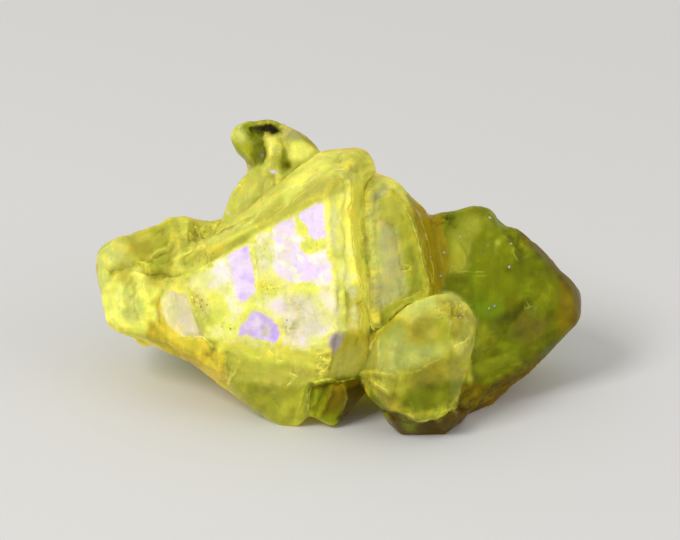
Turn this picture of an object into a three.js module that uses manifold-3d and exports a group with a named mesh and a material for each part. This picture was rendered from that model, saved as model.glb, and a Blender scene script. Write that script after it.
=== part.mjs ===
// A cluster of intergrown cerussite crystals, broken off flat where it grew.
// Units are millimetres. +Z is up and +X runs along the longest side.
//
// Every crystal is laid out face-on first: x to the right, z up and -y towards
// the onlooker. The cluster then leans back until it stands on its broken base,
// and its origin goes to the middle of its footprint.

import * as THREE from 'three';
import { ConvexGeometry } from 'three/addons/geometries/ConvexGeometry.js';
import { mergeVertices } from 'three/addons/utils/BufferGeometryUtils.js';
import Module from 'manifold-3d';

const wasm = await Module();
wasm.setup();

// ---------------------------------------------------------------- dimensions

const LEAN_BACK = 25; // degrees that the cluster leans back from face-on
const BASE_HEIGHT = -10.1; // height of the broken base, before the origin moves

const COLOUR = 0xd8d860;
const ROUGHNESS = 0.35;

// A flat face of a crystal. `turn` is the compass angle of its outward direction
// seen face-on (0 right, 90 up, 180 left, 270 down), `lean` is how far it tips
// away from the onlooker (0 is face-on, 90 edge-on, 180 the back), and `reach`
// is its distance from the crystal's centre.
const face = (turn, lean, reach) => ({ turn, lean, reach });

// The large wedge in front, with a broad table that faces the onlooker.
const MAIN = {
  centre: [-5.6, 0, -0.9],
  faces: {
    table: face(175, 17, 5.2),
    upperBevel: face(124, 63, 6.6),
    top: face(90, 65, 10.5),
    rightBevel: face(8, 40, 8.65),
    grooveWall: face(6, 72, 8.2),
    lowerRight: face(318, 50, 9.5),
    lowerMiddle: face(250, 30, 7.2),
    leftFacet: face(192, 42, 6.65),
    leftUpper: face(160, 48, 6.7),
    lowerLeftStrip: face(232, 62, 7.9),
    upperSide: face(131, 100, 5.7),
    leftSide: face(153, 104, 7.1),
    tipSide: face(193, 100, 9.3),
    lowerLeftSide: face(232, 100, 8.2),
    topSide: face(90, 96, 11.3),
    topRightSide: face(62, 94, 13.1),
    rightTopSide: face(50, 94, 13.2),
    underside: face(268, 96, 7.1),
    backUpper: face(100, 145, 8.5),
    backLeft: face(205, 140, 8),
    back: face(330, 172, 8.5),
  },
};

// The same wedge carries on downwards at its left, to a blunt tip.
const MAIN_TIP = {
  centre: MAIN.centre,
  faces: {
    ...MAIN.faces,
    lowerTip: face(252, 42, 8.35),
    lowerLeftStrip: face(232, 70, 8.4),
    rightBreak: face(0, 88, 3.35),
    lowerLeftSide: face(233, 100, 8.3),
    underside: face(270, 98, 10.8),
    lowerRight: face(318, 92, 9.2),
  },
};

// The block right of the groove.
const RIGHT_BLOCK = {
  centre: [5.1, 0, 2.3],
  faces: {
    front: face(30, 12, 2.5),
    grooveWall: face(183, 81, 2.7),
    rightSide: face(12, 61, 2.4),
    rightBack: face(5, 100, 3.9),
    rightLowBack: face(346, 98, 4.0),
    topBevel: face(52, 58, 3.7),
    topRight: face(50, 95, 3.9),
    top: face(90, 70, 5.1),
    bottom: face(298, 66, 5.3),
    underside: face(262, 98, 8.6),
    left: face(180, 100, 6),
    backUpper: face(40, 138, 6.5),
    back: face(200, 168, 8),
  },
};

// The big diamond-shaped crystal at the right, and its stepped shoulder.
const DIAMOND = {
  centre: [11.6, 3, -3.6],
  faces: {
    front: face(70, 12, 3.1),
    upperRight: face(48, 62, 7.0),
    upperRightSide: face(48, 98, 7.7),
    top: face(95, 94, 7.2),
    tip: face(18, 66, 7.8),
    tipSide: face(352, 92, 8.2),
    lowerRight: face(314, 62, 5.8),
    lowerRightSide: face(314, 100, 5.45),
    lowerLeft: face(219, 90, 9.5),
    left: face(180, 90, 9),
    bottom: face(271, 90, 8.6),
    backUpper: face(60, 140, 5.5),
    backLower: face(300, 140, 5.5),
    back: face(180, 172, 5),
  },
};

const SHOULDER = {
  centre: DIAMOND.centre,
  faces: {
    ...DIAMOND.faces,
    upperRight: face(42, 64, 6.1),
    upperRightSide: face(42, 98, 6.65),
    top: face(94, 96, 9.4),
    topLeft: face(114, 94, 8.95),
  },
};

// A knob that stands out in front of the diamond, and the foot under it.
const KNOB = {
  centre: [6.6, -3, -6.7],
  faces: {
    front: face(95, 12, 4.5),
    left: face(170, 70, 3.9),
    leftUpper: face(125, 66, 4.3),
    leftUpperSide: face(128, 92, 3.8),
    top: face(102, 58, 5.0),
    topSide: face(102, 94, 4.4),
    topRight: face(62, 62, 5.9),
    topRightSide: face(62, 94, 5.75),
    right: face(22, 64, 5.2),
    rightSide: face(18, 94, 5.2),
    rightLow: face(345, 66, 4.2),
    rightLowSide: face(345, 94, 3.9),
    rightUnder: face(318, 66, 4.9),
    under: face(278, 70, 5.2),
    leftUnder: face(222, 72, 5.1),
    leftUnderSide: face(222, 94, 4.7),
    underSide: face(275, 96, 4.6),
    frontLow: face(272, 26, 4.95),
    back: face(90, 180, 6),
  },
};

const FOOT = {
  centre: [7.3, -3, -11.8],
  faces: {
    front: face(272, 52, 1.1),
    bottomSide: face(270, 96, 1.16),
    left: face(219, 92, 2.3),
    leftLow: face(249, 92, 1.55),
    right: face(308, 92, 1.65),
    farRight: face(330, 70, 2.45),
    top: face(90, 90, 0.8),
    back: face(90, 180, 5),
  },
};

// The short splintered crystal between the wedge's tip and the foot.
const SHARD = {
  centre: [-0.4, -1, -9.6],
  faces: {
    front: face(250, 30, 2.8),
    leftSide: face(182, 92, 1.85),
    rightBevel: face(325, 55, 2.3),
    rightSide: face(319, 96, 1.65),
    bottom: face(262, 98, 2.2),
    bottomLeft: face(238, 95, 2.1),
    top: face(90, 75, 1.6),
    back: face(90, 180, 3.5),
  },
};

// A pale nub in the crook between the right block and the shoulder.
const NUB = {
  centre: [8.6, 3, 4.6],
  faces: {
    front: face(100, 20, 1.7),
    top: face(95, 94, 0.7),
    right: face(40, 92, 0.85),
    left: face(150, 92, 0.75),
    farRight: face(345, 92, 0.9),
    under: face(270, 90, 1.3),
    back: face(90, 160, 1.5),
  },
};

// Three crystals at the far left, one stepped behind the other.
const LEFT_LOWER = {
  centre: [-15.5, 3, -2.2],
  faces: {
    front: face(215, 14, 3.1),
    lowerSide: face(247, 96, 2.7),
    leftSide: face(194, 98, 3.4),
    leftBevel: face(196, 60, 3.7),
    lowBevel: face(246, 62, 3.5),
    top: face(95, 80, 3.9),
    right: face(0, 90, 8),
    backUpper: face(80, 150, 4.5),
    backLeft: face(200, 135, 4.6),
    back: face(250, 160, 4.5),
  },
};

const LEFT_UPPER = {
  centre: [-15.5, 4, 2.8],
  faces: {
    front: face(112, 38, 3.2),
    topSide: face(110, 98, 0.95),
    topRight: face(70, 96, 2.9),
    leftSide: face(181, 97, 3.85),
    cornerSide: face(119, 97, 1.5),
    leftBevel: face(188, 58, 5.2),
    under: face(264, 84, 2.6),
    right: face(20, 80, 4.2),
    back: face(90, 160, 3.5),
  },
};

const LEFT_WEDGE = {
  centre: [-11, 3, 3.2],
  faces: {
    front: face(75, 40, 1.7),
    topSide: face(92, 96, 1.5),
    left: face(165, 60, 2.7),
    right: face(0, 90, 3),
    under: face(270, 90, 3),
    back: face(90, 165, 4),
  },
};

// The neck behind the wedge's upper edge, and the lumpy cap that it carries.
const NECK = {
  centre: [-6.6, 3, 6],
  faces: {
    front: face(140, 24, 2.6),
    leftUpperSide: face(142, 98, 2.16),
    leftSide: face(161, 98, 2.1),
    leftBevel: face(155, 60, 2.76),
    top: face(95, 90, 3.3),
    rightUp: face(60, 50, 3.6),
    right: face(0, 90, 4),
    under: face(270, 90, 5),
    back: face(90, 150, 3.6),
  },
};

const CAP_LEFT = {
  centre: [-7.6, 3.5, 11],
  faces: {
    front: face(150, 22, 1.8),
    left: face(190, 100, 0.85),
    topLeft: face(135, 98, 1.25),
    top: face(97, 96, 1.5),
    lowLeft: face(225, 100, 0.8),
    right: face(10, 80, 1.3),
    under: face(280, 95, 2.2),
    back: face(150, 165, 1.6),
  },
};

const CAP_MIDDLE = {
  centre: [-5.4, 3.5, 10.8],
  faces: {
    front: face(95, 12, 2.5),
    top: face(85, 98, 1.85),
    left: face(170, 60, 2.0),
    leftSide: face(178, 95, 1.9),
    right: face(10, 60, 1.6),
    rightSide: face(30, 95, 1.35),
    under: face(265, 80, 2.9),
    back: face(60, 155, 1.4),
  },
};

const CAP_RIGHT = {
  centre: [-3, 3.5, 10],
  faces: {
    front: face(40, 25, 2.1),
    top: face(60, 96, 1.5),
    topRight: face(38, 96, 1.35),
    topLeft: face(100, 96, 2.4),
    left: face(175, 90, 1.9),
    under: face(265, 92, 2.2),
    back: face(40, 155, 1.5),
  },
};

// A small splinter under the lowest left crystal.
const SPLINTER = {
  centre: [-16.2, 3, -5],
  faces: {
    front: face(260, 20, 0.9),
    left: face(190, 92, 0.55),
    under: face(255, 92, 0.66),
    right: face(330, 92, 0.8),
    top: face(90, 90, 1.2),
    back: face(90, 170, 0.9),
  },
};

// The crystals at the back, which nobody sees face-on, and the broken base.
const BACK_LEFT = {
  centre: [-4.5, 7, -1],
  faces: {
    table: face(215, 160, 5.0),
    upper: face(128, 118, 6.0),
    upperSide: face(130, 94, 5.2),
    top: face(80, 125, 7.3),
    right: face(10, 120, 6.0),
    left: face(195, 112, 6.2),
    lowLeft: face(240, 108, 6.6),
    front: face(90, 0, 2.6),
  },
};

const BACK_RIGHT = {
  centre: [6, 7, -2],
  faces: {
    table: face(340, 158, 4.6),
    upper: face(55, 115, 5.8),
    upperSide: face(50, 92, 5.4),
    left: face(150, 120, 5.6),
    right: face(5, 115, 6.3),
    low: face(300, 110, 6.6),
    front: face(90, 0, 2.6),
  },
};

const BASE = {
  centre: [2, 6.5, -6.5],
  faces: {
    front: face(90, 0, 2.1),
    top: face(90, 100, 4),
    left: face(195, 100, 7.6),
    right: face(350, 98, 7.8),
    back: face(275, 140, 4.4),
    backRight: face(330, 130, 6.5),
    backLeft: face(205, 128, 6.2),
    under: face(270, 90, 6),
  },
};

const CLUSTER = [
  MAIN, MAIN_TIP, RIGHT_BLOCK, DIAMOND, SHOULDER, KNOB, FOOT, SHARD, NUB,
  LEFT_LOWER, LEFT_UPPER, LEFT_WEDGE, SPLINTER,
  NECK, CAP_LEFT, CAP_MIDDLE, CAP_RIGHT,
  BACK_LEFT, BACK_RIGHT, BASE,
];

// Layers left standing where the rest of the layer broke away: the stretch of a
// crystal inside an outline of [x, z], seen face-on, grown on the faces named.
const LEDGES = [
  {
    crystal: MAIN,
    grow: { rightBevel: 0.1, grooveWall: 0.6 },
    outline: [
      [-1.0, 8.0], [0.9, 7.9], [0.95, 6.2], [0.5, 5.3], [0.9, 4.4], [1.0, 3.1], [1.2, 2.0],
      [1.5, 0.1], [1.95, -1.6], [1.2, -2.1], [0.6, -0.6], [-0.4, -0.9], [-1.0, 2.0],
    ],
  },
  {
    crystal: MAIN,
    grow: { rightBevel: 0.2, table: 0.08 },
    outline: [
      [-2.2, 8.4], [0.2, 7.9], [0.5, 7.0], [0.4, 6.0], [-0.1, 5.2], [0.2, 4.2], [0.5, 3.0],
      [0.3, 1.9], [0.6, 0.9], [0.4, -0.3], [-0.2, -1.0], [-0.1, -2.2], [-0.6, -3.6],
      [-1.2, -2.2], [-1.4, 1.0],
    ],
  },
  {
    crystal: MAIN,
    grow: { lowerMiddle: 0.18 },
    outline: [
      [-9.4, -5.2], [-9.0, -6.6], [-9.3, -7.9], [-7.6, -7.6], [-5.9, -8.6], [-4.0, -8.2],
      [-2.5, -7.4], [-1.4, -8.0], [-0.8, -6.2], [-3.2, -5.4], [-6.4, -5.0],
    ],
  },
  {
    crystal: RIGHT_BLOCK,
    grow: { rightSide: 0.3 },
    outline: [
      [4.4, 6.6], [5.6, 5.6], [6.4, 4.3], [6.6, 2.8], [7.2, 1.3], [7.3, 0.2], [7.8, -1.2],
      [7.2, -2.2], [5.6, -1.6], [4.8, 2.0],
    ],
  },
  {
    crystal: LEFT_LOWER,
    grow: { front: 0.3 },
    outline: [
      [-18.3, 0.9], [-17.4, 0.8], [-16.5, 1.1], [-15.7, 0.8], [-15.2, 0.0], [-14.3, -0.2], [-13.0, 0.6],
      [-13.0, -6.0], [-16.0, -5.2], [-18.2, -3.9], [-18.9, -2.2], [-18.5, -0.8],
    ],
  },
  {
    crystal: DIAMOND,
    grow: { front: 0.2 },
    outline: [
      [8.2, 7.0], [9.6, 5.2], [9.4, 3.4], [10.6, 1.6], [10.4, 0.3], [12.4, 0.1], [12.7, -1.4],
      [9.0, -2.6], [6.0, 0], [6.0, 6.0],
    ],
  },
];

// Shell-shaped breaks and angular pits: a ball's bite out of a face, `depth` deep
// at the point [x, z] seen face-on. Few facets leave an angular pit.
const SMOOTH = 3;
const ANGULAR = 0;
const BITES = [
  { crystal: KNOB, face: 'frontLow', at: [8.2, -9.9], radius: 5.5, depth: 0.8, facets: SMOOTH },
  { crystal: KNOB, face: 'rightLow', at: [10.6, -8.4], radius: 1.3, depth: 0.5, facets: ANGULAR },
  { crystal: KNOB, face: 'leftUnder', at: [3.4, -9.6], radius: 1.4, depth: 0.5, facets: ANGULAR },
  { crystal: KNOB, face: 'topRight', at: [9.6, -1.6], radius: 0.9, depth: 0.35, facets: ANGULAR },
  { crystal: MAIN, face: 'lowerLeftStrip', at: [-10.4, -6.0], radius: 1.6, depth: 0.6, facets: ANGULAR },
  { crystal: MAIN, face: 'leftFacet', at: [-11.0, -4.6], radius: 1.3, depth: 0.3, facets: ANGULAR },
  { crystal: MAIN, face: 'rightBevel', at: [0.9, 8.2], radius: 0.8, depth: 0.3, facets: ANGULAR },
  { crystal: MAIN, face: 'upperBevel', at: [-6.8, 4.6], radius: 1.6, depth: 0.25, facets: ANGULAR },
  { crystal: DIAMOND, face: 'front', at: [14.2, -2.9], radius: 1.5, depth: 0.22, facets: ANGULAR },
  { crystal: DIAMOND, face: 'lowerRight', at: [17.1, -6.0], radius: 1.4, depth: 0.4, facets: ANGULAR },
  { crystal: CAP_MIDDLE, face: 'front', at: [-5.7, 12.3], radius: 1.1, depth: 0.5, facets: ANGULAR },
  { crystal: LEFT_UPPER, face: 'front', at: [-13.8, 4.6], radius: 4.0, depth: 0.5, facets: SMOOTH },
  { crystal: LEFT_UPPER, face: 'front', at: [-17.4, 3.4], radius: 1.2, depth: 0.3, facets: ANGULAR },
];

const SIGHT_DEPTH = 60; // length of the prism that stands on a ledge's outline
const CUTTER_SIZE = 80; // the block that trims the broken base

const SAME_POINT = 1e-3; // corners closer than this are one corner
const ON_FACE = 1e-6; // how far a corner may stand proud of a face

// ------------------------------------------------------------------- shaping

const radians = THREE.MathUtils.degToRad;

// The outward direction of a face, in the layout's axes.
function direction({ turn, lean }) {
  const spread = Math.sin(radians(lean));
  return new THREE.Vector3(
    spread * Math.cos(radians(turn)),
    -Math.cos(radians(lean)),
    spread * Math.sin(radians(turn)),
  );
}

// The point where three faces meet, or null where they are nearly parallel.
function meetingPoint(a, b, c) {
  const bc = new THREE.Vector3().crossVectors(b.normal, c.normal);
  const ca = new THREE.Vector3().crossVectors(c.normal, a.normal);
  const ab = new THREE.Vector3().crossVectors(a.normal, b.normal);
  const volume = a.normal.dot(bc);
  if (Math.abs(volume) < ON_FACE) return null;
  return bc.multiplyScalar(a.reach)
    .addScaledVector(ca, b.reach)
    .addScaledVector(ab, c.reach)
    .divideScalar(volume);
}

// The corners of a crystal: meeting points that lie behind every face.
function corners(planes) {
  const found = [];
  planes.forEach((a, i) => planes.slice(i + 1).forEach((b, j) => {
    planes.slice(i + j + 2).forEach((c) => {
      const point = meetingPoint(a, b, c);
      if (!point) return;
      const inside = planes.every((p) => p.normal.dot(point) < p.reach + ON_FACE);
      const known = found.some((other) => other.distanceTo(point) < SAME_POINT);
      if (inside && !known) found.push(point);
    });
  }));
  return found;
}

// A closed geometry as a solid that can be joined and cut.
function solidOf(geometry) {
  const bare = geometry.clone();
  bare.deleteAttribute('normal');
  bare.deleteAttribute('uv');
  const merged = mergeVertices(bare);
  return new wasm.Manifold(new wasm.Mesh({
    numProp: 3,
    vertProperties: new Float32Array(merged.attributes.position.array),
    triVerts: new Uint32Array(merged.index.array),
  }));
}

function geometryOf(solid) {
  const mesh = solid.getMesh();
  const geometry = new THREE.BufferGeometry();
  geometry.setAttribute('position', new THREE.BufferAttribute(mesh.vertProperties, 3));
  geometry.setIndex(new THREE.BufferAttribute(mesh.triVerts, 1));
  geometry.computeVertexNormals();
  return geometry;
}

function crystalSolid({ centre, faces }) {
  const planes = Object.values(faces).map((f) => ({ normal: direction(f), reach: f.reach }));
  const geometry = new ConvexGeometry(corners(planes));
  geometry.translate(...centre);
  return solidOf(geometry);
}

// An outline made into a prism along the onlooker's line of sight.
function sightPrism(outline) {
  const shape = new THREE.Shape(outline.map(([x, z]) => new THREE.Vector2(x, z)));
  const prism = new THREE.ExtrudeGeometry(shape, { depth: SIGHT_DEPTH, bevelEnabled: false });
  prism.rotateX(Math.PI / 2);
  prism.translate(0, SIGHT_DEPTH / 2, 0);
  return solidOf(prism);
}

// The stretch of a grown crystal that lies inside a ledge's outline.
function ledgeSolid({ crystal, grow, outline }) {
  const faces = { ...crystal.faces };
  for (const [name, layer] of Object.entries(grow)) {
    faces[name] = { ...faces[name], reach: faces[name].reach + layer };
  }
  return crystalSolid({ centre: crystal.centre, faces }).intersect(sightPrism(outline));
}

// A ball that dips into a face. Each is turned by its place in the list, so that
// no two angular pits match.
function biteSolid({ crystal, face: name, at: [x, z], radius, depth, facets }, index) {
  const { reach } = crystal.faces[name];
  const normal = direction(crystal.faces[name]);
  const point = new THREE.Vector3(x, 0, z);
  const offset = normal.dot(point.clone().sub(new THREE.Vector3(...crystal.centre)));
  point.y = (reach - offset) / normal.y;
  point.addScaledVector(normal, radius - depth);
  const ball = new THREE.IcosahedronGeometry(radius, facets);
  ball.rotateX(index);
  ball.rotateZ(index);
  ball.translate(point.x, point.y, point.z);
  return solidOf(ball);
}

// Everything below the broken base, in the layout's axes.
function belowBase() {
  const block = new THREE.BoxGeometry(CUTTER_SIZE, CUTTER_SIZE, CUTTER_SIZE);
  block.translate(0, 0, BASE_HEIGHT - CUTTER_SIZE / 2);
  block.rotateX(radians(LEAN_BACK));
  return solidOf(block);
}

// --------------------------------------------------------------------- model

const grown = [...CLUSTER.map(crystalSolid), ...LEDGES.map(ledgeSolid)];
const broken = [...BITES.map(biteSolid), belowBase()];
const cluster = broken.reduce(
  (whole, next) => whole.subtract(next),
  grown.reduce((whole, next) => whole.add(next)),
);

const crystals = new THREE.Mesh(
  geometryOf(cluster),
  new THREE.MeshStandardMaterial({ color: COLOUR, roughness: ROUGHNESS, metalness: 0 }),
);
crystals.name = 'crystal_cluster';

const root = new THREE.Group();
root.rotation.x = -radians(LEAN_BACK);
root.add(crystals);

const box = new THREE.Box3().setFromObject(root, true);
const middle = box.getCenter(new THREE.Vector3());
root.position.set(-middle.x, -middle.y, -box.min.z);

export default root;
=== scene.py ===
"""Cerussite crystal cluster: intergrown fluorescent crystals resting on a broken base, and
their stage."""

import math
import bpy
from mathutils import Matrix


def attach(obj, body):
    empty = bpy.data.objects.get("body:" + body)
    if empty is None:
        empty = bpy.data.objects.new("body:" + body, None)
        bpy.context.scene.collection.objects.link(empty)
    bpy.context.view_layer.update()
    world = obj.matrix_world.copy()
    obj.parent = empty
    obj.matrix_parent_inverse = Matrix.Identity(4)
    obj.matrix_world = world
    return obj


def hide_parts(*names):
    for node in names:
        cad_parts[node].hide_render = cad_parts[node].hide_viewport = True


bl_info = {
    "name": "Cerussite Crystal Cluster",
    "version": (1, 0, 0),
    "blender": (4, 5, 0),
    "location": "3D View > Sidebar > Cerussite",
    "description": "Dresses a cerussite cluster with its relief, seams and fluorescent colours",
    "category": "Object",
}

import bmesh
import bpy
import numpy as np
from bpy.props import FloatProperty, FloatVectorProperty, IntProperty, PointerProperty
from mathutils import Euler, Vector
from mathutils.bvhtree import BVHTree
from mathutils.kdtree import KDTree

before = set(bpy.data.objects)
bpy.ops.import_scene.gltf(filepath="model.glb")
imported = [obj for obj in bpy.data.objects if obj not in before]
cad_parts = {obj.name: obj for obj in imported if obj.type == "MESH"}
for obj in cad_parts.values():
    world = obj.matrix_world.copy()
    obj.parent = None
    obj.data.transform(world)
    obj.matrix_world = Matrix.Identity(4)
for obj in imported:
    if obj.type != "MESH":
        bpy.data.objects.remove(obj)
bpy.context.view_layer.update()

CAD_NODE = "crystal_cluster"
CLUSTER = "cerussite_cluster"
MM = 0.001

# The upright layout the crystals were drawn in, in millimetres: x to the right, y away, z up.
# It leans back about X, then moves so that the cluster rests on its base.
LEAN = math.radians(25.0)
LAYOUT_SHIFT = np.array([-0.069, -1.572, 10.100])

# The eye: its place across and up the layout and its distance from it in millimetres, its focal
# length in pixels, and the picture that it sees, in pixels.
EYE_ACROSS = 0.206
EYE_UP = 0.70
EYE_DISTANCE = 400.0
EYE = (EYE_ACROSS, -EYE_DISTANCE, EYE_UP)
FOCAL_PIXELS = 4850.0
PICTURE_WIDTH = 680
PICTURE_HEIGHT = 540
PIXELS_PER_MM = FOCAL_PIXELS / EYE_DISTANCE
# Width of the camera's sensor, in millimetres.
SENSOR = 36.0

# The side of the lamp that the painted relief shading is lit from, in the layout: up, left and in
# front.
LAMP_SIDE = (-0.45, -0.75, 0.5)
# How far apart the small crags are compared to paint their lit sides lighter, in millimetres.
CRAG_SHIFT = 0.07
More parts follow.
